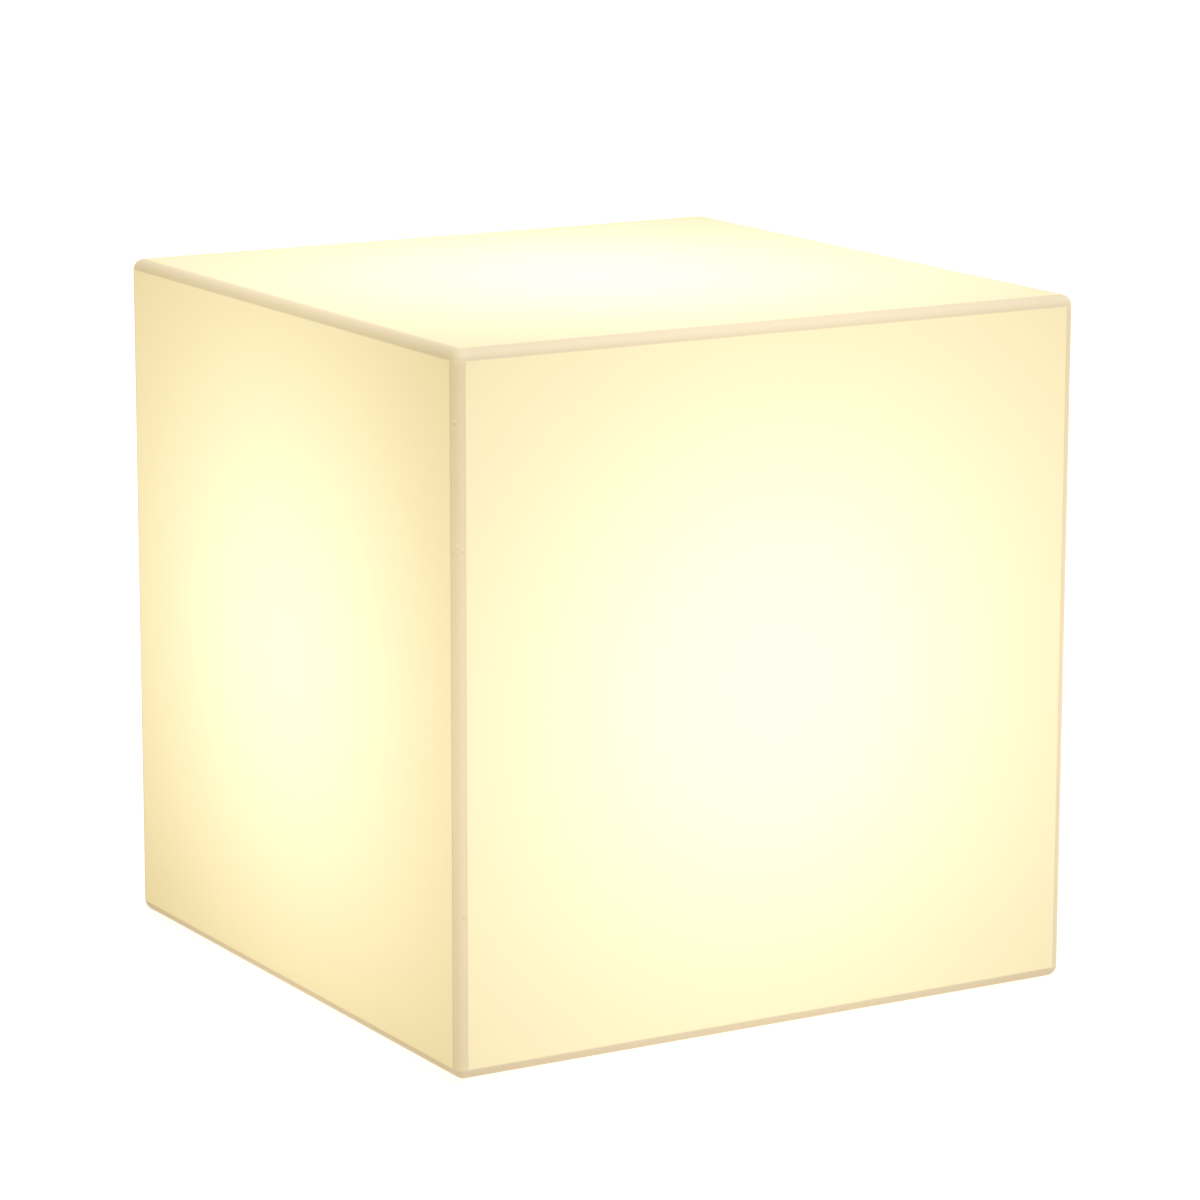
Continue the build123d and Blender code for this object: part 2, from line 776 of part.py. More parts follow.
def terminal_grip(clearance=0.0):
    """The shank of a holder's terminal screw, in from the clamp's front."""
    front = wire_terminal_depth / 2
    shank = rod(terminal_screw_diameter / 2 + clearance, front - terminal_grip_length, front)
    return Pos(0, 0, wire_terminal_middle) * Rot(90, 0, 0) * shank


def holder_terminal_screws():
    front = wire_terminal_depth / 2
    head = rod(grip_head_diameter / 2, front, front + grip_head_height)
    head -= screw_slot(grip_head_diameter, front + grip_head_height, -slot_depth)
    head = Pos(0, 0, wire_terminal_middle) * Rot(90, 0, 0) * head
    screw = Pos(wire_terminal_inner + wire_terminal_width / 2, 0, 0) * (head + terminal_grip())
    return group(screw, [Rot(0, 0, 0), Rot(0, 0, 180)])


def holder_skirt():
    inner = holder_radius - holder_wall
    lip_radius = bulb_cap_diameter / 2 + skirt_lip_clearance
    skirt = rod(holder_radius, holder_joint, skirt_top)
    skirt = fillet(skirt.edges().group_by(Axis.Z)[-1], skirt_round)
    skirt -= rod(inner, holder_joint - over, skirt_top - skirt_lip)
    return skirt - rod(lip_radius, skirt_top - skirt_lip - over, skirt_top + over)


# ---- Terminal box ----

def box_outline(low, high):
    middle = (box_front + box_back) / 2
    return Pos(0, middle, low) * extrude(RectangleRounded(box_width, box_length, box_corner),
                                         high - low)


def terminal_box():
    middle = (box_front + box_back) / 2
    box = box_outline(pad_top, box_top)
    inside = RectangleRounded(box_width - 2 * box_wall, box_length - 2 * box_wall,
                              box_corner - box_wall)
    box -= Pos(0, middle, box_floor_top) * extrude(inside, box_height)
    box += [place * rod(pillar_diameter / 2, pad_top + over, box_top) for place in lid_screw_places()]
    lid_hole = rod(tapped_radius, box_top + lid_thickness - lid_screw_length - hole_end_gap,
                   box_top + over)
    box -= [place * lid_hole for place in lid_screw_places()]
    floor_hole = rod(through_radius, pad_top - over, box_floor_top + over)
    box -= [place * floor_hole for place in box_screw_places()]
    gland_hole = gland_thread_diameter / 2 + gland_hole_clearance
    box -= as_gland(rod(gland_hole, gland_inner_face - over, -well_wall + over))
    neck = grommet_neck_diameter / 2 + grommet_clearance
    box -= Pos(0, box_front, pole_level) * Rot(-90, 0, 0) * rod(neck, -over, box_wall + over)
    block_hole = rod(block_screw_diameter / 2 + tapped_clearance,
                     block_screw_bottom(), box_floor_top + over)
    return box - Pos(0, block_middle, 0) * block_hole


def block_screw_bottom():
    return block_top - block_screw_length


def terminal_box_screws():
    return group(upside_down(pan_screw(box_screw_length), box_floor_top), box_screw_places())


def terminal_lid():
    lid = box_outline(box_top, box_top + lid_thickness)
    lid = fillet(lid.edges().group_by(Axis.Z)[-1], lid_round)
    hole = rod(through_radius, box_top - over, box_top + lid_thickness + over)
    return lid - [place * hole for place in lid_screw_places()]


def terminal_lid_screws():
    screw = upside_down(pan_screw(lid_screw_length), box_top + lid_thickness)
    return group(screw, lid_screw_places())


def pole_places():
    return [Pos(side * pole_spacing / 2, 0, 0) for side in (-1, 1)]


def along_back(shape, start):
    """Turns a shape built along +Z to run back along +Y at the poles' height."""
    return Pos(0, start, pole_level) * Rot(-90, 0, 0) * shape


def terminal_screw_places():
    ys = (block_middle - terminal_screw_spread / 2, block_middle + terminal_screw_spread / 2)
    return [place * Pos(0, y, 0) for place in pole_places() for y in ys]


def terminal_block():
    body = block((-block_width / 2, block_width / 2), (block_front, block_back),
                 (box_floor_top, block_top))
    body = fillet(body.edges().group_by(Axis.Z)[-1], block_round)
    pole_hole = along_back(rod(pole_diameter / 2 + pole_clearance, -over, block_length + over),
                           block_front)
    body -= [place * pole_hole for place in pole_places()]
    screw_hole = rod(terminal_screw_diameter / 2 + through_clearance, pole_level, block_top + over)
    body -= [place * screw_hole for place in terminal_screw_places()]
    fixing = rod(block_screw_diameter / 2 + tapped_clearance, box_floor_top - over, block_top + over)
    return body - Pos(0, block_middle, 0) * fixing


def terminal_sleeves():
    sleeve = along_back(tube(pole_diameter / 2, pole_bore / 2, 0, block_length), block_front)
    sleeves = []
    for place in pole_places():
        shape = place * sleeve
        hole = rod(terminal_screw_diameter / 2 + tapped_clearance, pole_level,
                   pole_level + pole_diameter)
        shape -= [spot * hole for spot in terminal_screw_places()]
        sleeves.append(shape.solid())
    return Compound(children=sleeves)


def terminal_screws():
    low = pole_level + terminal_screw_lift
    high = low + terminal_screw_length
    shank = rod(terminal_screw_diameter / 2, low, high)
    return group(shank - screw_slot(terminal_screw_diameter, high, -slot_depth),
                 terminal_screw_places())


def block_screw():
    """Slotted screw through the block's middle into the box's floor."""
    screw = rod(block_screw_diameter / 2, 0, block_screw_length)
    screw += rod(block_head_diameter / 2, -block_head_height, 0)
    screw -= screw_slot(block_head_diameter, -block_head_height, slot_depth)
    return Pos(0, block_middle, 0) * upside_down(screw, block_top)


def wire_grommet():
    neck = grommet_neck_diameter / 2
    rim = grommet_diameter / 2
    front = -grommet_flange
    back = box_wall + grommet_flange
    grommet = rod(neck, front, back) + rod(rim, front, 0) + rod(rim, box_wall, back)
    grommet = along_back(grommet, box_front)
    hole = along_back(rod(wire_diameter / 2 + wire_clearance, front - over, back + over), box_front)
    return grommet - [place * hole for place in pole_places()]


# ---- Wires ----

def wire(side):
    """From a pole of the block through the grommet, up the mast and into the holder's clamp.

    The wire's lower bend lies in the mast's foot, the two slight bends draw the pair together
    below the nipple, and the last one turns it out to the clamp.
    """
    low_x = side * pole_spacing / 2
    high_x = side * nipple_wire_spacing / 2
    points = [
        (low_x, block_front, pole_level),
        (low_x, 0, pole_level),
        (low_x, 0, wire_draw_low),
        (high_x, 0, wire_draw_high),
        (high_x, 0, wire_terminal_middle),
        (side * wire_terminal_inner, 0, wire_terminal_middle),
    ]
    bends = [wire_foot_bend, wire_draw_bend, wire_draw_bend, wire_head_bend]
    path = FilletPolyline(*points, radius=bends)
    section = Plane(origin=points[0], z_dir=(0, -1, 0)) * Circle(wire_diameter / 2)
    print("wire length", round(path.length, 1), "bends", bends)
    return sweep(section, path)


def live_wire():
    return wire(-1)


def neutral_wire():
    return wire(1)


# ---- Gland ----

def gland_body():
    thread = gland_thread_diameter / 2
    body = rod(thread, gland_thread_end, gland_collar_end)
    body += hexagon(gland_across_flats, gland_flange_start, gland_collar_start)
    body -= rod(gland_bore_radius, gland_thread_end - over, gland_collar_end + over)
    body -= rod(seal_diameter / 2 + seal_slip, seal_start, gland_collar_end + over)
    return as_gland(body)


def gland_washer():
    inner = gland_thread_diameter / 2 + gland_thread_clearance
    return as_gland(tube(gland_across_flats / 2, inner, 0, gland_washer_thickness))


def gland_locknut():
    nut = hexagon(gland_across_flats, gland_inner_face - locknut_thickness, gland_inner_face)
    inner = gland_thread_diameter / 2 + gland_thread_clearance
    nut -= rod(inner, gland_inner_face - locknut_thickness - over, gland_inner_face + over)
    return as_gland(nut)


def gland_seal():
    seal = tube(seal_diameter / 2, cord_radius + seal_clearance, seal_start, seal_end)
    return as_gland(seal)


def gland_nut():
    nut = hexagon(gland_across_flats, gland_nut_start, gland_nut_end)
    dome = rod(gland_corner_radius, gland_nut_start, gland_nut_end)
    dome = fillet(dome.edges().group_by(Axis.Z)[-1], gland_mouth)
    nut &= dome
    thread = gland_thread_diameter / 2 + gland_thread_clearance
    nut -= rod(thread, gland_nut_start - over, gland_collar_end + gland_nut_gap)
    nut -= rod(seal_diameter / 2 + seal_slip, gland_collar_end, seal_end + seal_end_gap)
    return as_gland(nut - rod(gland_bore_radius, seal_end, gland_nut_end + over))


# ---- Bulb ----

def bulb_contact():
    radius = contact_diameter / 2
    button = rod(radius, bulb_tip, insulator_bottom)
    button = chamfer(button.edges().group_by(Axis.Z)[0], contact_chamfer)
    return button + rod(contact_stem_diameter / 2, insulator_bottom - contact_thickness / 2,
                        insulator_bottom + contact_stem_length)


def bulb_insulator():
    shape = turned([
        (0, insulator_bottom),
        (insulator_base_diameter / 2, insulator_bottom),
        (insulator_diameter / 2, bulb_cap_bottom),
        (insulator_spigot_diameter / 2, bulb_cap_bottom),
        (insulator_spigot_diameter / 2, bulb_cap_bottom + insulator_spigot_height),
        (0, bulb_cap_bottom + insulator_spigot_height),
    ])
    return shape - rod(contact_stem_diameter / 2 + contact_stem_clearance,
                       insulator_bottom - over, insulator_bottom + contact_stem_length)


def bulb_cap():
    outer = bulb_cap_diameter / 2
    inner = outer - bulb_cap_wall
    hole = insulator_spigot_diameter / 2 + insulator_clearance
    shoulder = bulb_cap_bottom + bulb_cap_cone
    return turned([
        (hole, bulb_cap_bottom),
        (bulb_cap_lower_diameter / 2, bulb_cap_bottom),
        (outer, shoulder),
        (outer, housing_bottom),
        (inner, housing_bottom),
        (inner, shoulder + bulb_cap_wall),
        (bulb_cap_lower_diameter / 2, bulb_cap_bottom + bulb_cap_wall),
        (hole, bulb_cap_bottom + bulb_cap_wall),
    ])


def bulb_housing():
    spigot = housing_bore_radius + housing_wall
    seat_edge = heat_seat_radius - heat_seat_step
    neck = (housing_neck_radius, 0, housing_bottom)
    joint = (globe_joint_radius, 0, globe_joint)
    flare_arc = TangentArc(neck, joint, tangent=(0, 0, 1))
    rest = Polyline(
        joint,
        (heat_seat_radius, 0, globe_joint),
        (heat_seat_radius, 0, heat_seat),
        (seat_edge, 0, heat_seat),
        (housing_bore_radius, 0, housing_bottom),
        (housing_bore_radius, 0, spigot_bottom),
        (spigot, 0, spigot_bottom),
        (spigot, 0, housing_bottom),
        neck,
    )
    return revolve(make_face(flare_arc + rest), Axis.Z)


def bulb_heat_plate():
    return rod(heat_seat_radius - heat_plate_clearance, heat_seat, heat_plate_top)


def led_board():
    return rod(heat_seat_radius - board_inset, heat_plate_top, board_top)


def led_chips():
    half = led_size / 2
    chip = block((-half, half), (-half, half), (board_top, board_top + led_height))
    return group(chip, on_ring(led_circle / 2, led_count))


def driver_board():
    half = housing_bore_radius - driver_end_gap
    return block((-half, half), (-driver_thickness / 2, driver_thickness / 2),
                 (spigot_bottom + driver_end_gap, heat_seat - driver_head_gap))


def driver_parts():
    """A capacitor on one face of the driver's board and a coil on the other."""
    face = driver_thickness / 2
    top = heat_seat - driver_parts_below_plate
    can = Pos(0, -face - capacitor_diameter / 2, 0) * rod(
        capacitor_diameter / 2, top - capacitor_length, top)
    coil = block((-coil_width / 2, coil_width / 2), (face, face + coil_depth),
                 (top - coil_height, top))
    return Compound(children=[can.solid(), coil.solid()])


def bulb_globe():
    outer = Pos(0, 0, light_centre) * Sphere(globe_radius)
    inner = Pos(0, 0, light_centre) * Sphere(globe_radius - globe_wall)
    return outer - inner - rod(globe_radius + over, light_centre - globe_radius - over, globe_joint)


# ---- Writing the parts ----

NODES = {
    "cube_shell": cube_shell,
    "threaded_inserts": threaded_inserts,
    "base_plate": base_plate,
    "gland_housing": gland_housing,
    "gland_housing_screws": gland_housing_screws,
    "base_gasket": base_gasket,
    "plate_screws": plate_screws,
    "rubber_feet": rubber_feet,
    "foot_screws": foot_screws,
    "mast_foot": mast_foot,
    "mast_foot_screws": mast_foot_screws_group,
    "mast_set_screw": mast_set_screw,
    "mast_tube": mast_tube,
    "mast_plug": mast_plug,
    "threaded_nipple": threaded_nipple,
    "nipple_nuts": nipple_nuts,
    "holder_cap": holder_cap,
    "holder_core": holder_core,
    "holder_sleeve": holder_sleeve,
    "holder_contact": holder_contact,
    "holder_terminals": holder_terminals,
    "holder_terminal_screws": holder_terminal_screws,
    "holder_skirt": holder_skirt,
    "terminal_box": terminal_box,
    "terminal_box_screws": terminal_box_screws,
    "terminal_lid": terminal_lid,
    "terminal_lid_screws": terminal_lid_screws,
    "terminal_block": terminal_block,
    "terminal_sleeves": terminal_sleeves,
    "terminal_screws": terminal_screws,
    "block_screw": block_screw,
    "wire_grommet": wire_grommet,
    "live_wire": live_wire,
    "neutral_wire": neutral_wire,
    "gland_body": gland_body,
    "gland_washer": gland_washer,
    "gland_locknut": gland_locknut,
    "gland_seal": gland_seal,
    "gland_nut": gland_nut,
    "bulb_contact": bulb_contact,
    "bulb_insulator": bulb_insulator,
    "bulb_cap": bulb_cap,
    "bulb_housing": bulb_housing,
    "bulb_heat_plate": bulb_heat_plate,
    "led_board": led_board,
    "led_chips": led_chips,
    "driver_board": driver_board,
    "driver_parts": driver_parts,
    "bulb_globe": bulb_globe,
}


def main():
    os.makedirs("parts", exist_ok=True)
    for name, make in NODES.items():
        export_step(make(), f"parts/{name}.step")
    travel = bulb_thread_pitch * bulb_turns
    print("bulb travel", round(travel, 3))
    print("gland nut travel", round(gland_nut_pitch * gland_nut_turns, 3))
    print("shell lift", ceil(bulb_top + travel + lift_clearance - shell_bottom))
    print("cord inlet", round(well_start + (seal_start + seal_end) / 2, 3), round(gland_level, 3),
          "radius", cord_radius + seal_clearance, "length", seal_length)


main()
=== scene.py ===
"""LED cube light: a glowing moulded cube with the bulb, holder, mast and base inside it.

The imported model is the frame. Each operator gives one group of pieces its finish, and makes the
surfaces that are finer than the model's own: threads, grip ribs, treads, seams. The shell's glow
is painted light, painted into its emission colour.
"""

from math import cos, pi, radians, sin

import bpy
import numpy as np
from bpy.props import FloatProperty, FloatVectorProperty, IntProperty, PointerProperty
from mathutils import Matrix, Vector


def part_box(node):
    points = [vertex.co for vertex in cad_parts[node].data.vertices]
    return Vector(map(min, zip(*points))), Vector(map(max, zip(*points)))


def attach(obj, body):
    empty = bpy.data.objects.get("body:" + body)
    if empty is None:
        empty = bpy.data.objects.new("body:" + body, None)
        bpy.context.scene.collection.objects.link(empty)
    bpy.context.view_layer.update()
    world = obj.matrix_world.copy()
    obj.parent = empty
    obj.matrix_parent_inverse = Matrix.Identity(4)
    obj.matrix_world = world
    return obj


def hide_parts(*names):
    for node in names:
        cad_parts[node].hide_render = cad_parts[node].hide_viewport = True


bl_info = {
    "name": "LED cube light",
    "version": (1, 0, 0),
    "blender": (4, 5, 0),
    "location": "3D view > Sidebar > Cube light",
    "description": "Builds the looks of a glowing moulded cube light around its packed model",
    "category": "Object",
}

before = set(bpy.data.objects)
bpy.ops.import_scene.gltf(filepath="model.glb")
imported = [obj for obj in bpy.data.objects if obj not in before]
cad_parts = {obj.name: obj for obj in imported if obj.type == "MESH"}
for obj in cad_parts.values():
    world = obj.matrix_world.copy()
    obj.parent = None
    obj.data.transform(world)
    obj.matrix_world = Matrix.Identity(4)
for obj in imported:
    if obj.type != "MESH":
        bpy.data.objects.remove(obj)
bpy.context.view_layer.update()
MM = 0.001
WHITE = (1.0, 1.0, 1.0)
BLACK = (0.0, 0.0, 0.0)
SHARP_ANGLE = radians(38)   # faces that meet at more than this show a crease

SHELL_LOW, SHELL_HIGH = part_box("cube_shell")
SHELL_HALF = (SHELL_HIGH.x - SHELL_LOW.x) / 2
SHELL_MIDDLE = (SHELL_HIGH.z + SHELL_LOW.z) / 2
CAP_LOW, CAP_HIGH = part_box("bulb_cap")
SLEEVE_LOW, SLEEVE_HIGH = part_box("holder_sleeve")
GLOBE_LOW, GLOBE_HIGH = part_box("bulb_globe")
HOUSING_LOW, HOUSING_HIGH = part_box("bulb_housing")
HOLDER_LOW, HOLDER_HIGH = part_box("holder_cap")
SKIRT_LOW, SKIRT_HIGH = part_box("holder_skirt")
NUT_LOW, NUT_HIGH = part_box("gland_nut")
FEET_LOW, FEET_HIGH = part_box("rubber_feet")


# ---- Shader maths ----


class Value:
    """A socket that carries one value over a surface; arithmetic on it adds Math nodes."""

    def __init__(self, paint, socket):
        self.paint = paint
        self.socket = socket

    def math(self, operation, *others):
        return self.paint.node("ShaderNodeMath", {"operation": operation}, (self, *others))

    def math_after(self, operation, first):
        return self.paint.node("ShaderNodeMath", {"operation": operation}, (first, self))

    def __add__(self, other):
        return self.math("ADD", other)

    def __sub__(self, other):
        return self.math("SUBTRACT", other)

    def __mul__(self, other):
        return self.math("MULTIPLY", other)

    def __truediv__(self, other):
        return self.math("DIVIDE", other)

    def __pow__(self, other):
        return self.math("POWER", other)

    def __rsub__(self, other):
        return self.math_after("SUBTRACT", other)

    def __rtruediv__(self, other):
        return self.math_after("DIVIDE", other)

    def __abs__(self):
        return self.math("ABSOLUTE")

    def smaller_of(self, other):
        return self.math("MINIMUM", other)

    def larger_of(self, other):
        return self.math("MAXIMUM", other)

    def sine(self):
        return self.math("SINE")

    def ramp(self, start, end, low=0.0, high=1.0):
        """Goes smoothly from low to high as the value goes from start to end."""
        return self.paint.node("ShaderNodeMapRange", {"interpolation_type": "SMOOTHSTEP"},
                               (self, start, end, low, high))


class Nodes:
    """The nodes of a material or a world."""

    def __init__(self, tree):
        self.tree = tree
        self.tree.nodes.clear()

    def put(self, socket, value):
        """Links a Value to a socket, or sets the socket's own number or colour."""
        if isinstance(value, Value):
            self.tree.links.new(value.socket, socket)
        elif socket.type == "RGBA":
            socket.default_value = (*value[:3], 1.0)
        else:
            socket.default_value = value

    def node(self, kind, settings, values, output=0):
        """Adds a node: its settings first, then its sockets' values or links."""
        made = self.tree.nodes.new(kind)
        for name, setting in settings.items():
            setattr(made, name, setting)
        pairs = values.items() if isinstance(values, dict) else enumerate(values)
        for key, value in pairs:
            self.put(made.inputs[key], value)
        return Value(self, made.outputs[output])

    def mix(self, factor, first, second):
        """The first colour where the factor is 0 and the second where it is 1."""
        return self.node("ShaderNodeMix", {"data_type": "RGBA"},
                         {0: factor, 6: first, 7: second}, 2)

    def vector(self, operation, *values, output=0):
        return self.node("ShaderNodeVectorMath", {"operation": operation}, values, output)

    def seen_directly(self):
        """1 for rays from the camera, off a mirror or through glass, and 0 for the rest."""
        paths = self.node("ShaderNodeLightPath", {}, {}).socket.node.outputs
        camera, glossy, through = [Value(self, paths[name]) for name in (
            "Is Camera Ray", "Is Glossy Ray", "Is Transmission Ray")]
        return camera.larger_of(glossy).larger_of(through)


class Paint(Nodes):
    """One material: a principled shader and the nodes that make its finish."""

    def __init__(self, name):
        self.material = bpy.data.materials.new(name)
        self.material.use_nodes = True
        super().__init__(self.material.node_tree)
        self.shader = self.tree.nodes.new("ShaderNodeBsdfPrincipled")
        output = self.tree.nodes.new("ShaderNodeOutputMaterial")
        self.tree.links.new(self.shader.outputs[0], output.inputs[0])
        self.place = self.node("ShaderNodeTexCoord", {}, {}, "Object")

    def stretched(self, scale):
        """Object coordinates, stretched differently along each axis."""
        return self.node("ShaderNodeMapping", {}, {"Vector": self.place, "Scale": scale})

    def noise(self, scale, detail=3.0, rough=0.5, place=None):
        """Soft cloudy noise from 0 to 1, so many lumps a metre."""
        where = self.place if place is None else place
        return self.node("ShaderNodeTexNoise", {}, {"Vector": where, "Scale": scale,
                                                    "Detail": detail, "Roughness": rough})

    def cells(self, scale):
        """Distance to the nearest of scattered points, so many a metre."""
        return self.node("ShaderNodeTexVoronoi", {}, {"Vector": self.place, "Scale": scale})

    def axes(self, vector=None):
        """The three coordinates of a vector, or of the object's own place, as values."""
        parts = self.node("ShaderNodeSeparateXYZ", {}, (self.place if vector is None else vector,))
        return [Value(self, output) for output in parts.socket.node.outputs]

    def set(self, **sockets):
        for name, value in sockets.items():
            self.put(self.shader.inputs[name.replace("_", " ")], value)

    def finish(self, blend, colours, roughness, height, distance, **sockets):
        """Mixes two colours by a blend and raises the surface by a height.

        The height goes from 0 to 1 and is counted in distances, in metres.
        """
        bump = self.node("ShaderNodeBump", {}, {"Strength": 1.0, "Distance": distance,
                                                "Height": height})
        self.set(Base_Color=self.mix(blend, *colours), Roughness=roughness, Normal=bump,
                 **sockets)
        return self

    def wear(self, *pieces):
        """Gives the finish to objects or to CAD nodes named."""
        for piece in pieces:
            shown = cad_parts[piece] if isinstance(piece, str) else piece
            shown.data.materials.clear()
            shown.data.materials.append(self.material)


# ---- Surfaces ----


def add_object(name, data):
    """A new object in the scene that shows the data."""
    made = bpy.data.objects.new(name, data)
    bpy.context.scene.collection.objects.link(made)
    return made


def make_piece(name, skins, body, slot, *replaced):
    """Puts closed skins into one new mesh that rides on a body and stands for CAD nodes.

    A skin is its points and its faces.
    """
    points, faces, first = [], [], 0
    for grid, skin in skins:
        faces += [[k + first for k in face] for face in outward(grid, skin)]
        points.append(grid)
        first += len(grid)
    mesh = bpy.data.meshes.new(name)
    mesh.from_pydata(np.concatenate(points).tolist(), [], faces)
    mesh.validate()
    mesh.shade_smooth()
    mesh.set_sharp_from_angle(angle=SHARP_ANGLE)
    piece = add_object(name, mesh)
    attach(piece, body)
    if replaced:
        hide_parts(*replaced)
    return piece


def angles(around):
    """Evenly spaced angles of one turn, as one row."""
    return np.linspace(0.0, 2 * pi, around, endpoint=False)[None, :]


def loop_faces(rings, around):
    """Quads between neighbouring rings and from the last ring back to the first: a closed skin.

    Ring i, point j has the number i * around + j, and both i and j run round.
    """
    i, j = np.meshgrid(np.arange(rings), np.arange(around), indexing="ij")
    next_i = (i + 1) % rings
    next_j = (j + 1) % around
    quads = np.stack([i * around + j, i * around + next_j, next_i * around + next_j,
                      next_i * around + j], axis=-1)
    return quads.reshape(-1, 4).tolist()


def capped_faces(rings, around):
    """Quads between neighbouring rings, with the first and last ring closed by one flat face."""
    last = (rings - 1) * around
    ends = [list(range(around - 1, -1, -1)), list(range(last, last + around))]
    return loop_faces(rings, around)[:-around] + ends


def outward(points, faces):
    """Turns all faces round where the closed skin's signed volume is negative.

    A face p0, p1 ... adds p0 . (pk x pk+1), summed over k, to six times the volume.
    """
    volume = 0.0
    for size in {len(face) for face in faces}:
        loops = points[np.array([face for face in faces if len(face) == size])]
        volume += np.einsum("ik,ijk->", loops[:, 0], np.cross(loops[:, 1:-1], loops[:, 2:]))
    return faces if volume > 0 else [face[::-1] for face in faces]


def refined(profile, step):
    """Points along a polyline of (radius, height) corners, no further apart than a step.

    Each run from corner to corner is divided evenly, by the ratio of its length to the step.
    """
    corners = np.array(profile, float)
    parts = []
    for start, end in zip(corners[:-1], corners[1:]):
        count = max(1, int(np.ceil(np.linalg.norm(end - start) / step)))
        share = np.linspace(0.0, 1.0, count, endpoint=False)[:, None]
        parts.append(start + (end - start) * share)
    return np.concatenate(parts + [corners[-1:]])


def rounded(radius, height, size, turn_from, turn_to, count=7):
    """Points of a quarter round between two directions, about its own centre."""
    turn = np.radians(np.linspace(turn_from, turn_to, count))
    return [(radius + size * cos(a), height + size * sin(a)) for a in turn]


def spun(radius, height, around, centre=(0.0, 0.0)):
    """Grid of points: at each angle a profile's radius and height, turned about a vertical axis.

    Radius and height are arrays of rings by angles, or of rings by one. A point is
    (centre x + radius cos angle, centre y + radius sin angle, height).
    """
    radius, height, angle = np.broadcast_arrays(radius, height, angles(around))
    grid = np.stack([centre[0] + radius * np.cos(angle), centre[1] + radius * np.sin(angle),
                     height], axis=-1)
    return grid.reshape(-1, 3)


def make_turned(name, profile, radius, body, slot, replaced):
    """A closed section turned about the Z axis, with its radius given at every angle."""
    skin = spun(radius, profile[:, 1:], radius.shape[1]), loop_faces(*radius.shape)
    return make_piece(name, [skin], body, slot, replaced)


def fade(value, start, end, width):
    """1 between start and end and 0 outside, with a smooth step of a width at each end."""
    rise = np.clip((value - start) / width, 0, 1)
    fall = np.clip((end - value) / width, 0, 1)
    share = np.minimum(rise, fall)
    return share * share * (3 - 2 * share)


def helix_wave(profile, around, pitch):
    """A screw's ridge: the cosine of the angle behind a helix that climbs one pitch a turn."""
    return np.cos(2 * pi * profile[:, 1:] / pitch - angles(around))


# ---- Finishes that several groups share ----


def shade(colour, share):
    """A colour times a share."""
    return tuple(c * share for c in colour)


def moulded(name, colour, roughness, grain, depth, drift=0.06):
    """Moulded plastic: fine spark-eroded grain, slow cloudy drift of colour, uneven sheen."""
    paint = Paint(name)
    cloud = paint.noise(9.0, 4.0)
    fine = paint.noise(grain, 4.0, 0.6)
    return paint.finish(cloud * 0.7 + fine * 0.3, (shade(colour, 1 - drift), colour),
                        fine * 0.14 + cloud * 0.06 + (roughness - 0.1), fine, depth)


def metal(name, colour, roughness, streaks, thread=0.0, head=None):
    """Plated or turned metal: streaks along the tool's path, with thread rings up the axis.

    The streaks are noise stretched by three scales. The rings are the sine of the height over
    a pitch, where a thread is given. They fade in between a head's two heights, from its seat
    to the first full ring.
    """
    paint = Paint(name)
    brushed = paint.noise(1.0, 5.0, 0.6, paint.stretched(streaks))
    stain = paint.noise(60.0, 3.0)
    if thread:
        level = paint.axes()[2]
        rings = (level * (2 * pi / thread)).sine() * 0.5
        if head:
            rings = rings * level.ramp(*head)
        height, depth = rings + brushed * 0.06, 0.0003
    else:
        height, depth = brushed * 0.3, 0.00006
    return paint.finish(brushed * 0.6 + stain * 0.4, (shade(colour, 0.82), colour),
                        brushed * 0.16 + stain * 0.1 + (roughness - 0.1), height, depth,
                        Metallic=1.0)


def rubber(name, colour):
    """Moulded rubber: dull, with a talc bloom in patches and a fine pebbled skin."""
    paint = Paint(name)
    bloom = paint.noise(35.0, 5.0, 0.6).ramp(0.45, 0.75)
    paler = tuple(c + 0.035 for c in colour)
    return paint.finish(bloom, (colour, paler), bloom * 0.12 + 0.74, paint.cells(900.0), 0.00012)


# ---- Settings ----


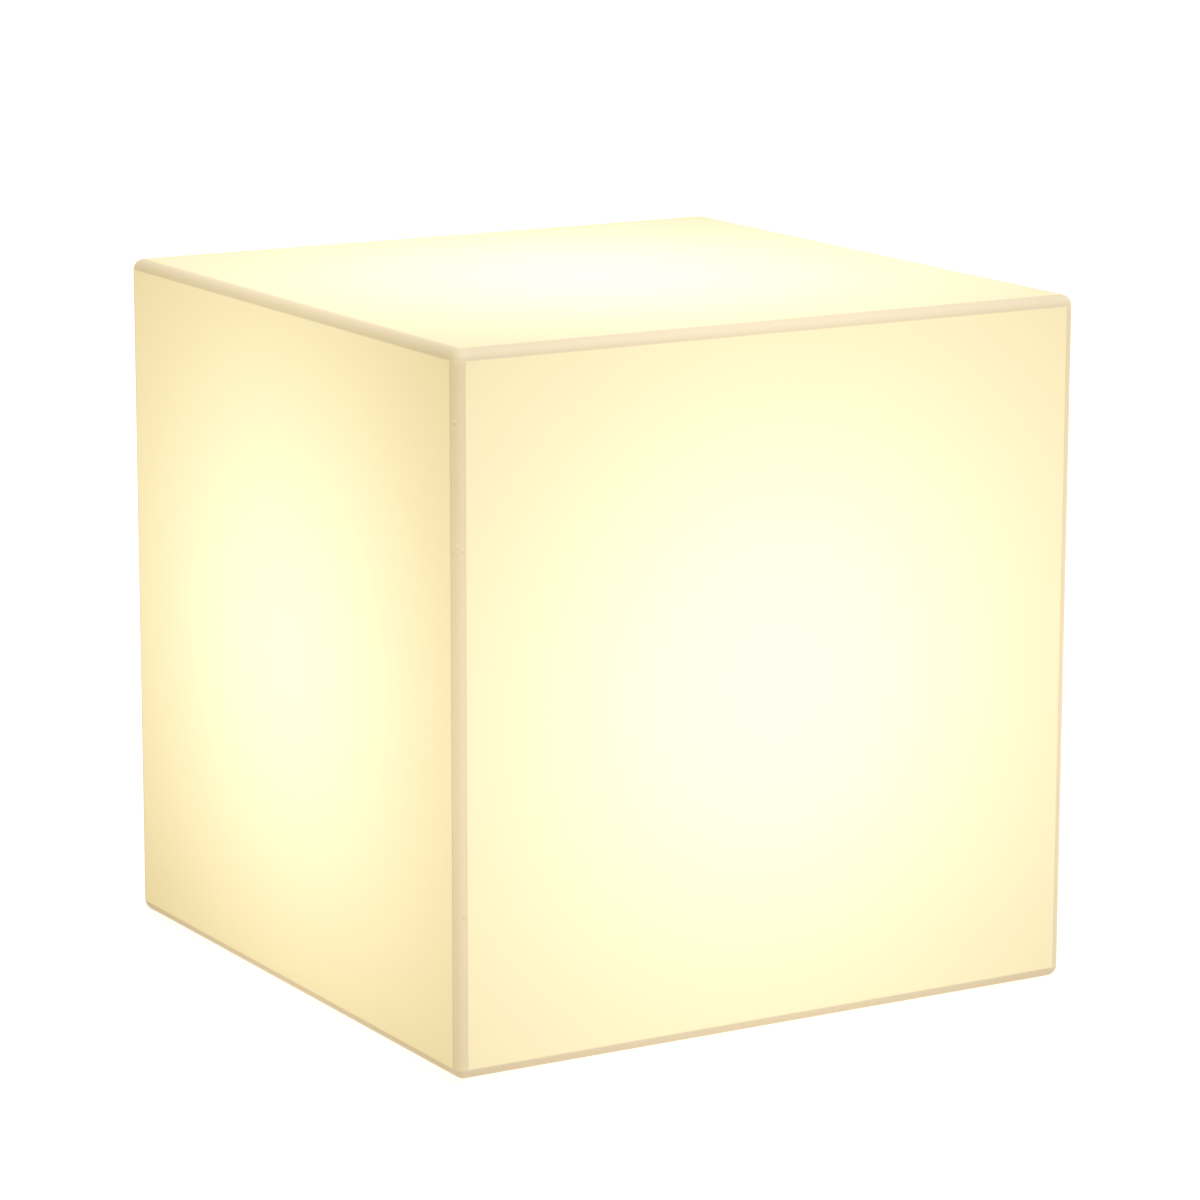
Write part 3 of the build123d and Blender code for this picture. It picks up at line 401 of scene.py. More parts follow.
class ShellSettings(bpy.types.PropertyGroup):
    """Sizes and colours of the glowing shell."""

    edge_radius: FloatProperty(
        name="Edge radius", description="Rounding of the cube's edges",
        default=6.4 * MM, min=0.001, unit="LENGTH", subtype="DISTANCE")
    # Painted light: the two glows below are painted into the shell's emission colour
    glow_colour: FloatVectorProperty(
        name="Glow", description="Light that falls off from each face's middle to its edges",
        default=(0.69, 0.65, 0.53), min=0.0, max=2.0, size=3, subtype="COLOR")
    base_glow: FloatVectorProperty(
        name="Even glow", description="Light that comes through everywhere alike",
        default=(0.42, 0.296, 0.015), min=0.0, max=2.0, size=3, subtype="COLOR")
    source_depth: FloatProperty(
        name="Source depth", description="Depth of the light behind a face, in shares of the side",
        default=0.63, min=0.5, max=2.0, subtype="FACTOR")
    # Painted shade: these shares dim the painted glow on the edges, the top edges' rounding, the
    # seat and the bottom rim
    edge_painted_shade: FloatVectorProperty(
        name="Edge tint", description="Share of the glow that comes through the thicker edges",
        default=(0.81, 0.735, 0.705), min=0.0, max=1.0, size=3, subtype="COLOR")
    ridge_painted_shade: FloatVectorProperty(
        name="Ridge tint", description="Share of the glow left on the rounding of the top edges",
        default=(0.95, 0.985, 0.975), min=0.0, max=1.0, size=3, subtype="COLOR")
    seat_painted_shade: FloatVectorProperty(
        name="Seat tint", description="Share of the glow that comes through the thicker seat",
        default=(0.95, 0.94, 0.89), min=0.0, max=1.0, size=3, subtype="COLOR")
    rim_painted_shade: FloatVectorProperty(
        name="Rim tint", description="Share of the glow that comes through the bottom rim's edge",
        default=(0.78, 0.76, 0.75), min=0.0, max=1.0, size=3, subtype="COLOR")
    # Painted shade: over this height up from the bottom the glow is painted dimmer
    bottom_painted_shade_height: FloatProperty(
        name="Rim fade", description="Height over which the bottom rim dims the glow",
        default=90 * MM, min=0.001, unit="LENGTH", subtype="DISTANCE")
    body_colour: FloatVectorProperty(
        name="Plastic", description="Colour of the polyethylene in outside light",
        default=(0.42, 0.42, 0.42), min=0.0, max=1.0, size=3, subtype="COLOR")
    seam_height: FloatProperty(
        name="Seam height", description="Height of the mould's flash line",
        default=0.22 * MM, min=0.0, unit="LENGTH", subtype="DISTANCE")
    seam_width: FloatProperty(
        name="Seam width", description="Width of the mould's flash line",
        default=0.7 * MM, min=0.0, unit="LENGTH", subtype="DISTANCE")


class BaseSettings(bpy.types.PropertyGroup):
    """Colours of the base's mouldings and the feet's treads."""

    plate_colour: FloatVectorProperty(
        name="Plate", description="Colour of the base plate",
        default=(0.80, 0.80, 0.78), min=0.0, max=1.0, size=3, subtype="COLOR")
    box_colour: FloatVectorProperty(
        name="Terminal box", description="Colour of the terminal box",
        default=(0.60, 0.62, 0.63), min=0.0, max=1.0, size=3, subtype="COLOR")
    rubber_colour: FloatVectorProperty(
        name="Rubber", description="Colour of feet and seals",
        default=(0.045, 0.045, 0.045), min=0.0, max=1.0, size=3, subtype="COLOR")
    head_height: FloatProperty(
        name="Screw head", description="Height of the screws' smooth heads",
        default=2.6 * MM, min=0.0, unit="LENGTH", subtype="DISTANCE")
    tread_rings: IntProperty(
        name="Tread rings", description="Grooves under each foot", default=3, min=0, max=8)
    tread_depth: FloatProperty(
        name="Tread depth", description="Depth of the grooves under each foot",
        default=0.7 * MM, min=0.0, unit="LENGTH", subtype="DISTANCE")


class LampSettings(bpy.types.PropertyGroup):
    """Sizes and colours of the bulb and its holder."""

    thread_pitch: FloatProperty(
        name="Thread pitch", description="Rise of the bulb's thread in one turn",
        default=3.629 * MM, min=0.001, unit="LENGTH", subtype="DISTANCE")
    thread_depth: FloatProperty(
        name="Thread depth", description="Half height of the rolled thread's wave",
        default=0.32 * MM, min=0.0, unit="LENGTH", subtype="DISTANCE")
    grip_ribs: IntProperty(
        name="Grip ribs", description="Ribs round the holder's case", default=36, min=8, max=90)
    grip_depth: FloatProperty(
        name="Grip depth", description="Depth of the grooves between the ribs",
        default=0.55 * MM, min=0.0, unit="LENGTH", subtype="DISTANCE")
    housing_flutes: IntProperty(
        name="Flutes", description="Cooling flutes round the bulb's housing",
        default=30, min=6, max=90)
    housing_flute_depth: FloatProperty(
        name="Flute depth", description="Depth of the cooling flutes",
        default=0.5 * MM, min=0.0, unit="LENGTH", subtype="DISTANCE")
    globe_colour: FloatVectorProperty(
        name="Globe", description="Light of the opal globe",
        default=(1.0, 0.88, 0.64), min=0.0, max=1.0, size=3, subtype="COLOR")
    globe_strength: FloatProperty(
        name="Globe strength", description="Brightness of the globe", default=0.8, min=0.0)
    case_colour: FloatVectorProperty(
        name="Case", description="Colour of the holder's case",
        default=(0.03, 0.03, 0.03), min=0.0, max=1.0, size=3, subtype="COLOR")
    tube_colour: FloatVectorProperty(
        name="Mast", description="Colour of the mast's powder coat",
        default=(0.88, 0.88, 0.86), min=0.0, max=1.0, size=3, subtype="COLOR")


class StageSettings(bpy.types.PropertyGroup):
    """Camera, floor and lamps."""

    eye: FloatVectorProperty(
        name="Eye", description="Place of the camera",
        default=(-1.3851, -2.3564, 0.7974), size=3, unit="LENGTH", subtype="TRANSLATION")
    target: FloatVectorProperty(
        name="Target", description="Point that the camera looks at",
        default=(0.00556, -0.00132, 0.2108), size=3, unit="LENGTH", subtype="TRANSLATION")
    roll: FloatProperty(
        name="Roll", description="Turn of the camera about its own line of sight",
        default=0.00187, unit="ROTATION", subtype="ANGLE")
    focal_length: FloatProperty(
        name="Focal length", description="Focal length for a 36 mm wide image", default=142.84)
    floor_colour: FloatVectorProperty(
        name="Floor", description="Colour of the pale floor",
        default=(0.62, 0.62, 0.62), min=0.0, max=1.0, size=3, subtype="COLOR")
    floor_white: FloatProperty(
        name="Floor white", description="White that the camera sees on top of the floor's colour",
        default=0.82, min=0.0, max=1.0)
    sky: FloatProperty(
        name="Sky", description="Even light from all round", default=0.16, min=0.0)
    key_strength: FloatProperty(
        name="Key lamp", description="Strength of the wide lamp above on the right",
        default=2.4, min=0.0)
    key_direction: FloatVectorProperty(
        name="Key direction", description="Direction towards the wide lamp",
        default=(0.1, -0.5, 0.86), size=3, subtype="DIRECTION")
    key_spread: FloatProperty(
        name="Key spread", description="Angle that the wide lamp fills, for soft shadows",
        default=radians(50), unit="ROTATION", subtype="ANGLE")


# ---- Shell ----

# What lies on the cube's edges starts a little inside the plastic and has its back deeper in
SUNK = 0.02 * MM
STRIP_BACK = 0.3 * MM


def shell_painted_glow(settings, name, share=1.0):
    """Translucent polyethylene with a painted glow, as if lit by a small source at the cube's
    middle.

    With d the distance from the cube's middle over its side, and h the source's depth, the
    painted glow is g = (h^2 / (d^2 + h^2 - 1/4)) ^ 1.5, which is 1 in the middle of each face. The
    edges are where the second largest of |x|, |y|, |z| passes the half side less the edge's
    radius: there the wall is thicker and the glow is painted dimmer, least along the line where
    the rounding of a side starts, and more again at the corners, where all three pass it. The
    seat and the bottom rim are thicker too, and there the glow is painted dimmer, as it is on the
    rounding of the top edges and towards the bottom: painted shade.
    """
    paint = Paint(name)
    middle = (0.0, 0.0, SHELL_MIDDLE)
    offset = paint.vector("SUBTRACT", paint.place, middle)
    square = paint.vector("DOT_PRODUCT", offset, offset, output="Value")
    h_square = settings.source_depth ** 2
    fall = (h_square / (square / (4 * SHELL_HALF ** 2) + (h_square - 0.25))) ** 1.5
    cloud = paint.noise(7.0, 3.0, 0.55)
    grain = paint.noise(420.0, 3.0, 0.6)
    lumps = paint.noise(55.0, 2.0, 0.5)
    # Painted light: the bulb's glow through the wall is painted into the emission colour, not cast
    # by the bulb
    light = paint.node("ShaderNodeVectorMath", {"operation": "SCALE"}, {
        0: shade(settings.glow_colour, share),
        "Scale": fall * (cloud * 0.03 + 0.985)})
    light = paint.vector("ADD", light, shade(settings.base_glow, share))

    along = paint.axes(offset)
    level = along[2]
    x, y, z = [abs(value) for value in along]
    second = x.smaller_of(y).larger_of(x.larger_of(y).smaller_of(z))
    third = x.smaller_of(y).smaller_of(z)
    start = SHELL_HALF - settings.edge_radius
    # Painted shade: the glow is painted dimmer on the edges' rounding, darker still along a line
    # where the rounding of a side starts and in streaks up the upright edges, and less dim at the
    # corners
    edge = second.ramp(start - 0.25 * MM, start + 0.6 * MM)
    corner = third.ramp(start - 5 * MM, start + 3 * MM)
    streaks = paint.noise(1.0, 3.0, 0.6, paint.stretched((900, 900, 14)))
    upright = x.smaller_of(y).ramp(start, start + 1 * MM)
    on_side = (x.larger_of(y) - z).ramp(-3 * MM, 3 * MM)
    line = second.ramp(start - 0.35 * MM, start + 0.3 * MM) * second.ramp(
        start + 2.0 * MM, start + 0.5 * MM)
    tint = paint.mix(edge * (1.0 - corner * 0.35), WHITE, settings.edge_painted_shade)
    tint = paint.mix(line * on_side * 0.085 + upright * streaks * 0.05, tint, BLACK)
    light = paint.vector("MULTIPLY", light, tint)
    # Painted shade: the glow is painted dimmer on the rounding of the top edges, on the seat at
    # the top, on the bottom rim and towards the bottom
    ridge = edge * level.ramp(start - 0.3 * MM, start + 1 * MM)
    seat = level.ramp(start, start + 2 * MM)
    rim = level.ramp(0.5 * MM - start, -1.5 * MM - start)
    painted_bottom_shade = level.ramp(settings.bottom_painted_shade_height - SHELL_HALF, -SHELL_HALF) * 0.15
    for place, share_left in ((ridge, settings.ridge_painted_shade), (seat, settings.seat_painted_shade),
                              (rim.larger_of(painted_bottom_shade), settings.rim_painted_shade)):
        light = paint.vector("MULTIPLY", light, paint.mix(place, WHITE, share_left))

    body = settings.body_colour
    return paint.finish(cloud * 0.5 + grain * 0.5, (shade(body, 0.97), body), grain * 0.12 + 0.42,
                        lumps * 0.6 + grain * 0.4, 0.00009, Emission_Color=light,
                        Emission_Strength=1.0, Specular_IOR_Level=0.25)


def edge_bead(settings, corner, radius, angle, up):
    """A closed skin on an upright edge of the cube, with its back deeper in the plastic.

    In the corner with signs (sx, sy) a point is (sx (c + radius cos angle), sy (c + radius sin
    angle), up), where c is the half side less the edge's radius. Radius is rows up the edge by
    columns round it, and angle and up fit it.
    """
    sx, sy = corner
    centre = SHELL_HALF - settings.edge_radius
    up = np.broadcast_to(up, radius.shape)
    back = np.full_like(radius, settings.edge_radius - STRIP_BACK)
    front, behind = [np.stack([sx * (centre + reach * np.cos(angle)),
                               sy * (centre + reach * np.sin(angle)), up], axis=-1)
                     for reach in (radius, back)]
    points = np.concatenate([front, behind[:, ::-1]], axis=1).reshape(-1, 3)
    return points, capped_faces(len(radius), 2 * radius.shape[1])


def edge_strip(settings, corner, low, high, turn):
    """The mould's flash line up one upright edge, at an angle of turn from the face's normal.

    Across it the section is one arch of a cosine, height times (1 + cos) / 2, from minus to
    plus half its width, and it sinks into the plastic at its rim and at its two ends.
    """
    arc = np.linspace(-1.0, 1.0, 9)[None, :]
    up = np.linspace(low, high, 240)[:, None]
    lift = settings.seam_height * (1 + np.cos(pi * arc)) / 2 * fade(up, low, high, 4 * MM)
    angle = radians(turn) + arc * settings.seam_width / 2 / settings.edge_radius
    return edge_bead(settings, corner, settings.edge_radius + lift - SUNK, angle, up)


# Marks on the front edge: height as a share of the side, the part of the rounding that the mark
# covers in degrees, and how tall it is in millimetres.
# The light marks get a glow painted brighter and the dark marks a glow painted dimmer: painted
# light and shade
LIGHT_MARKS = ((0.9056, 15, 42, 0.9), (0.7343, 15, 28, 1.0), (0.7343, 60, 75, 0.9),
               (0.7383, 26, 62, 0.5), (0.1552, 38, 50, 1.3))
DARK_MARKS = ((0.9086, 24, 40, 0.8), (0.9020, 20, 44, 1.4), (0.7290, 15, 27, 3.0),
              (0.7300, 66, 75, 2.6), (0.2300, 62, 75, 2.2), (0.1748, 16, 34, 1.0),
              (0.1690, 30, 60, 0.7))


def nick(settings, corner, level, turn_from, turn_to, tall):
    """A small moulding mark that lies across an upright edge, round part of its rounding.

    Over (s, t) from -1 to 1 the bead stands out by its height times sqrt(1 - s^2) times
    sqrt(1 - t^2), with s up the edge and t round its rounding.
    """
    s = np.sin(np.linspace(-pi / 2, pi / 2, 14))[:, None]
    t = np.sin(np.linspace(-pi / 2, pi / 2, 16))[None, :]
    swell = settings.seam_height * np.sqrt(np.clip(1 - s ** 2, 0, 1)) * np.sqrt(
        np.clip(1 - t ** 2, 0, 1))
    narrow = np.sqrt(np.clip(1 - s ** 2, 0.02, 1))
    angle = np.radians((turn_from + turn_to) / 2 + t * narrow * (turn_to - turn_from) / 2)
    return edge_bead(settings, corner, settings.edge_radius + swell - SUNK, angle,
                     level + s * tall / 2)


class CUBELIGHT_OT_shell(bpy.types.Operator):
    """Paint the shell's glow and add its mould's flash lines and vent marks, their glow painted
    brighter or dimmer
    """

    bl_idname = "cube_light.shell"
    bl_label = "Shell"

    def execute(self, context):
        settings = context.scene.cube_light_shell
        shell_painted_glow(settings, "glowing_polyethylene").wear("cube_shell")
        low = SHELL_LOW.z + settings.edge_radius
        high = SHELL_HIGH.z - settings.edge_radius
        lines = [edge_strip(settings, corner, low, high, turn)
                 for corner, turn in (((-1, -1), 21), ((1, -1), 69), ((1, 1), 21), ((-1, 1), 69))]
        # Painted shade: the flash line's glow is painted a little dimmer than the shell's
        shell_painted_glow(settings, "flash_line", 0.96).wear(
            make_piece("shell_seams", lines, "shell", "shell_polyethylene"))
        # Painted light and shade: each set of marks has the shell's glow painted brighter or
        # dimmer by its share
        for name, share, marks in (("brighter_glow_mark", 1.16, LIGHT_MARKS),
                                   ("dimmer_glow_mark", 0.86, DARK_MARKS)):
            beads = [nick(settings, (-1, -1), SHELL_LOW.z + level * 2 * SHELL_HALF, turn_from,
                          turn_to, tall * MM) for level, turn_from, turn_to, tall in marks]
            shell_painted_glow(settings, name, share).wear(
                make_piece(name + "s", beads, "shell", "shell_polyethylene"))
        return {"FINISHED"}


# ---- Base ----

FOOT_RADIUS = 15.0 * MM     # at the foot's upper end


class CUBELIGHT_OT_base(bpy.types.Operator):
    """Finish the base plate, its gasket and the mast's foot"""

    bl_idname = "cube_light.base"
    bl_label = "Base plate"

    def execute(self, context):
        settings = context.scene.cube_light_base
        moulded("base_polypropylene", settings.plate_colour, 0.5, 700.0, 0.00012).wear(
            "base_plate", "gland_housing", "mast_foot")

        foam = Paint("gasket_foam")
        pores_and_painted_shade = foam.cells(1500.0).ramp(0.1, 0.6)
        patch = foam.noise(40.0, 3.0)
        # Painted shade: the pores are painted darker as well as sunk by the bump, over a patchy
        # tone
        foam.finish(pores_and_painted_shade * 0.7 + patch * 0.3, ((0.02, 0.02, 0.02), (0.085, 0.085, 0.085)),
                    pores_and_painted_shade * 0.1 + 0.82, pores_and_painted_shade, 0.0004).wear("base_gasket")
        return {"FINISHED"}


def foot_profile(settings, low, high, head):
    """A foot's section as a closed line: tread with grooves, flared side, top and screw hole.

    Under the foot the height is the groove's depth times half of 1 - cos over each ring.
    """
    inner, outer, top, bore = 4.7 * MM, 13.0 * MM, FOOT_RADIUS, 2.25 * MM
    across = np.linspace(inner, outer, 61)
    share = (across - inner) / (outer - inner)
    groove = (1 - np.cos(2 * pi * settings.tread_rings * share)) / 2
    groove = groove ** 3 * settings.tread_depth
    tread = np.stack([across, low + groove], axis=-1)
    rest = refined([(outer + 0.25 * MM, low + 0.3 * MM), (top - 0.2 * MM, high - 0.9 * MM),
                    (top, high - 0.5 * MM), (top - 0.3 * MM, high), (bore, high), (bore, head),
                    (inner - 0.1 * MM, head), (inner - 0.1 * MM, low + 0.3 * MM)], 1.2 * MM)
    return np.concatenate([tread, rest])


class CUBELIGHT_OT_feet(bpy.types.Operator):
    """Make the four rubber feet with their treads"""

    bl_idname = "cube_light.feet"
    bl_label = "Rubber feet"

    def execute(self, context):
        settings = context.scene.cube_light_base
        around = 64
        head_seat = 5 * MM
        profile = foot_profile(settings, FEET_LOW.z, FEET_HIGH.z, head_seat)
        reach = FEET_HIGH.x - FOOT_RADIUS
        skin = loop_faces(len(profile), around)
        feet = make_piece("feet_with_treads", [
            (spun(profile[:, :1], profile[:, 1:], around, (sx * reach, sy * reach)), skin)
            for sx in (-1, 1) for sy in (-1, 1)], "base", "foot_rubber", "rubber_feet")
        rubber("foot_rubber", settings.rubber_colour).wear(feet, "wire_grommet", "gland_seal")
        return {"FINISHED"}


class CUBELIGHT_OT_fasteners(bpy.types.Operator):
    """Finish the screws, nuts, inserts and clamps"""

    bl_idname = "cube_light.fasteners"
    bl_label = "Fasteners"

    def execute(self, context):
        settings = context.scene.cube_light_base
        steel = (0.62, 0.62, 0.63)
        for screws, heads_up in (("plate_screws", False), ("foot_screws", False),
                                 ("mast_foot_screws", True), ("terminal_box_screws", True),
                                 ("terminal_lid_screws", True), ("gland_housing_screws", True),
                                 ("block_screw", True)):
            low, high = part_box(screws)
            away = -1 if heads_up else 1
            seat = (high.z if heads_up else low.z) + away * settings.head_height
            metal("stainless_" + screws, steel, 0.32, (900, 900, 4000), 0.7 * MM,
                  (seat, seat + away * 0.3 * MM)).wear(screws)
        metal("stainless_turned", steel, 0.3, (3500, 500, 500)).wear(
            "mast_set_screw", "nipple_nuts")
        brass = (0.78, 0.6, 0.3)
        metal("turned_brass", brass, 0.3, (600, 600, 3500)).wear(
            "threaded_inserts", "holder_contact", "holder_terminals", "terminal_sleeves",
            "bulb_contact")
        metal("threaded_brass", brass, 0.3, (600, 600, 3500), 1.0 * MM).wear("threaded_nipple")
        metal("zinc_plate", (0.7, 0.7, 0.66), 0.35, (900, 900, 3000), 0.45 * MM).wear(
            "terminal_screws", "holder_terminal_screws")
        return {"FINISHED"}


# ---- Mast ----


class CUBELIGHT_OT_mast(bpy.types.Operator):
    """Finish the mast's powder-coated tube"""

    bl_idname = "cube_light.mast"
    bl_label = "Mast"

    def execute(self, context):
        settings = context.scene.cube_light_lamp
        colour = settings.tube_colour
        coat = Paint("powder_coat")
        peel = coat.noise(900.0, 3.0, 0.5)
        cloud = coat.noise(14.0, 3.0)
        coat.finish(peel * 0.4 + cloud * 0.6, (shade(colour, 0.95), colour), peel * 0.12 + 0.34,
                    peel, 0.00015).wear("mast_tube")
        return {"FINISHED"}


# ---- Lamp holder ----


def ribbed(profile, settings, start, end):
    """The radius at each angle of a turned case whose side carries upright grip ribs.

    It is the profile's less the grip's depth times the fourth power of sin(ribs angle / 2),
    which leaves broad ribs and narrow grooves, faded in and out at two heights.
    """
    groove = np.sin(settings.grip_ribs * angles(settings.grip_ribs * 12) / 2) ** 4
    outside = profile[:, :1] > profile[:, 0].max() - 0.05 * MM
    level = fade(profile[:, 1:], start, end, 2.2 * MM) * outside
    return profile[:, :1] - settings.grip_depth * level * groove


class CUBELIGHT_OT_holder(bpy.types.Operator):
    """Make the lamp holder's ribbed case and its rolled screw sleeve"""

    bl_idname = "cube_light.holder"
    bl_label = "Lamp holder"

    def execute(self, context):
        settings = context.scene.cube_light_lamp
        self.make_case(settings)
        self.finish_core()
        self.make_sleeve(settings)
        return {"FINISHED"}

    def make_case(self, settings):
        """The case's two halves, which meet at a joint, with grip ribs round both."""
        outer, low, joint, high = HOLDER_HIGH.x, HOLDER_LOW.z, SKIRT_LOW.z, SKIRT_HIGH.z
        core_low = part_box("holder_core")[0].z
        hole, floor = 5.1 * MM, low + 2.4 * MM
        inner, core_seat, spigot = 16.5 * MM, 14.9 * MM, outer - 2.1 * MM
        break_edge = 0.4 * MM
        cap = [(hole, low), *rounded(outer - 4 * MM, low + 4 * MM, 4 * MM, -90, 0),
               (outer, joint - break_edge), (outer - break_edge, joint), (spigot, joint),
               (spigot, HOLDER_HIGH.z), (inner, HOLDER_HIGH.z), (inner, core_low),
               (core_seat, core_low), (core_seat, core_low - 3 * MM),
               (inner, core_low - 3 * MM), (inner, floor), (hole, floor), (hole, low)]
        lip, wall = 15.0 * MM, outer - 2 * MM
        skirt = [(wall, joint), (outer - break_edge, joint), (outer, joint + break_edge),
                 *rounded(outer - 1.5 * MM, high - 1.5 * MM, 1.5 * MM, 0, 90),
                 *rounded(lip + 0.8 * MM, high - 0.8 * MM, 0.8 * MM, 90, 180, 5),
                 (lip, high - 3 * MM), (wall, high - 3 * MM), (wall, joint)]
        halves = []
        for name, node, section, start, end in (
                ("holder_case_lower", "holder_cap", cap, low + 4 * MM, joint - 0.6 * MM),
                ("holder_case_upper", "holder_skirt", skirt, joint + 1.5 * MM, high - 6 * MM)):
            profile = refined(section, 1.0 * MM)[:-1]
            halves.append(make_turned(name, profile, ribbed(profile, settings, start, end),
                                      "base", "black_phenolic", node))
        phenolic = moulded("black_phenolic", settings.case_colour, 0.3, 260.0, 0.00005, 0.3)
        phenolic.set(Coat_Weight=phenolic.noise(30.0).ramp(0.3, 0.8, 0.15, 0.35),
                     Coat_Roughness=0.2)
        phenolic.wear(*halves, "mast_plug", "bulb_insulator")

    def finish_core(self):
        """Unglazed ceramic with dark specks."""
        ceramic = Paint("bare_ceramic")
        speck = ceramic.cells(2200.0).ramp(0.12, 0.02)
        body = ceramic.noise(120.0, 4.0)
        ceramic.finish(speck * 0.6 + body * 0.15, ((0.88, 0.87, 0.83), (0.6, 0.56, 0.5)),
                       body * 0.15 + 0.6, body, 0.0001).wear("holder_core")

    def make_sleeve(self, settings):
        """The sleeve: sheet rolled into a thread, whose wave moves inside and outside alike."""
        low, high, outer = SLEEVE_LOW.z, SLEEVE_HIGH.z, SLEEVE_HIGH.x
        sheet, wave_height = 0.6 * MM, 0.13 * MM
        inner = outer - sheet
        wall = [(inner, low), (inner + sheet, low), (inner + sheet, high), (inner, high),
                (inner, low)]
        profile = refined(wall, 0.3 * MM)[:-1]
        share = fade(profile[:, 1:], low, high - 1 * MM, 2 * MM)
        wave = helix_wave(profile, 144, settings.thread_pitch)
        radius = profile[:, :1] + wave_height * share * (wave - 0.1)
        sleeve = make_turned("holder_screw_sleeve", profile, radius, "base", "nickel_plate",
                             "holder_sleeve")
        nickel_finish().wear(sleeve)


def nickel_finish():
    """Bright nickel on rolled sheet: fine streaks from the rolling, and haze in patches."""
    paint = Paint("nickel_plate")
    drawn = paint.noise(1.0, 4.0, 0.6, paint.stretched((500, 500, 2600)))
    haze = paint.noise(45.0, 4.0, 0.6)
    return paint.finish(haze, ((0.52, 0.5, 0.46), (0.68, 0.66, 0.61)),
                        drawn * 0.14 + haze * 0.14 + 0.1, drawn, 0.00003, Metallic=1.0)


# ---- Bulb ----


class CUBELIGHT_OT_bulb(bpy.types.Operator):
    """Make the bulb: its screw cap, fluted housing and glowing opal globe"""

    bl_idname = "cube_light.bulb"
    bl_label = "Bulb"

    def execute(self, context):
        settings = context.scene.cube_light_lamp
        self.make_cap(settings)
        self.make_housing(settings)
        self.make_globe(settings)
        self.finish_inside()
        return {"FINISHED"}

    def make_cap(self, settings):
        """The screw cap: a drawn sleeve with a rolled thread whose crest is the cap's radius."""
        wall = 0.5 * MM
        low, high, crest = CAP_LOW.z, CAP_HIGH.z, CAP_HIGH.x
        shoulder = low + 2.0 * MM
        hole, small = 8.4 * MM, 9.2 * MM
        outer = [(hole, low), (small, low), (crest - 0.5 * MM, shoulder - 0.2 * MM),
                 (crest, shoulder + 0.2 * MM), (crest, high)]
        inner = [(crest - wall, high), (crest - wall, shoulder + wall), (small, low + wall),
                 (hole, low + wall), (hole, low)]
        profile = refined(outer + inner, 0.3 * MM)[:-1]
        share = fade(profile[:, 1:], shoulder, high - 2.2 * MM, 2 * MM)
        share = share * (profile[:, :1] > crest - wall - 0.1 * MM)
        wave = helix_wave(profile, 144, settings.thread_pitch)
        radius = profile[:, :1] - settings.thread_depth * share * (1 - wave)
        cap = make_turned("bulb_screw_cap", profile, radius, "bulb", "nickel_plate", "bulb_cap")
        # The holder's operator, which runs before this one, has made the finish of both
        cap.data.materials.append(bpy.data.materials["nickel_plate"])

    def make_housing(self, settings):
        """The housing: an arc that leaves the neck upright and flares to the globe, with flutes.

        With r the neck's radius and R the arc's, the radius at height z above the neck is
        r + R - sqrt(R^2 - z^2). Flutes cut in by their depth times sin^2 of half their angle.
        The spigot below the neck fits inside the valleys of the cap's thread.
        """
        spigot_low, neck, joint = HOUSING_LOW.z, 151.0 * MM, HOUSING_HIGH.z
        outer, wall = 14.5 * MM, 1.5 * MM
        spigot = CAP_HIGH.x - 0.55 * MM - 2 * settings.thread_depth
        flare = HOUSING_HIGH.x - outer
        tall = joint - neck
        arc = (flare ** 2 + tall ** 2) / (2 * flare)
        z = np.linspace(0.0, tall, 60)
        out = outer + arc - np.sqrt(arc ** 2 - z ** 2)
        seat, bore = 182.0 * MM, 11.1 * MM
        seat_radius = outer + arc - (arc ** 2 - (seat - neck) ** 2) ** 0.5 - wall
        side = np.stack([out, neck + z], axis=-1)
        rest = refined([(seat_radius, joint), (seat_radius, seat), (seat_radius - 2 * MM, seat),
                        (bore, neck), (bore, spigot_low), (spigot, spigot_low),
                        (spigot, neck), (outer, neck)], 2 * MM)[:-1]
        profile = np.concatenate([side, rest])
        flutes = settings.housing_flutes
        flute = np.sin(flutes * angles(flutes * 12) / 2) ** 2
        level = fade(profile[:, 1:], neck + 2.5 * MM, joint - 4 * MM, 7 * MM)
        level[len(side):] = 0
        radius = profile[:, :1] - settings.housing_flute_depth * level * flute
        housing = make_turned("bulb_fluted_housing", profile, radius, "bulb", "white_plastic",
                              "bulb_housing")
        moulded("white_bulb_plastic", (0.88, 0.88, 0.86), 0.34, 600.0, 0.00004, 0.04).wear(housing)

    def make_globe(self, settings):
        """The opal globe: a spherical cap with an even wall and a rounded rim.

        A point is the centre plus the radius times (cos a cos t, cos a sin t, sin a), with a
        from the rim's angle to the pole, outside and then inside.
        """
        around, wall, pole_gap = 128, 1.2 * MM, 0.004
        radius = GLOBE_HIGH.x
        centre = GLOBE_HIGH.z - radius
        rim = np.arcsin((GLOBE_LOW.z - centre) / radius)
        rim_in = np.arcsin((GLOBE_LOW.z - centre) / (radius - wall))
        climb = np.linspace(rim, pi / 2 - pole_gap, 72)
        climb_in = np.linspace(pi / 2 - pole_gap, rim_in, 48)
        outside = np.stack([radius * np.cos(climb), centre + radius * np.sin(climb)], axis=-1)
        inside = np.stack([(radius - wall) * np.cos(climb_in),
                           centre + (radius - wall) * np.sin(climb_in)], axis=-1)
        # A closed loop of rings, opened between the two poles, where a small face closes each
        profile = np.concatenate([outside, inside])
        points = spun(profile[:, :1], profile[:, 1:], around)
        quads = loop_faces(len(profile), around)
        pole = len(outside) * around
        faces = quads[:pole - around] + quads[pole:] + [
            list(range(pole - around, pole)), list(range(pole + around - 1, pole - 1, -1))]
        globe = make_piece("bulb_opal_globe", [(points, faces)], "bulb", "opal_plastic",
                           "bulb_globe")

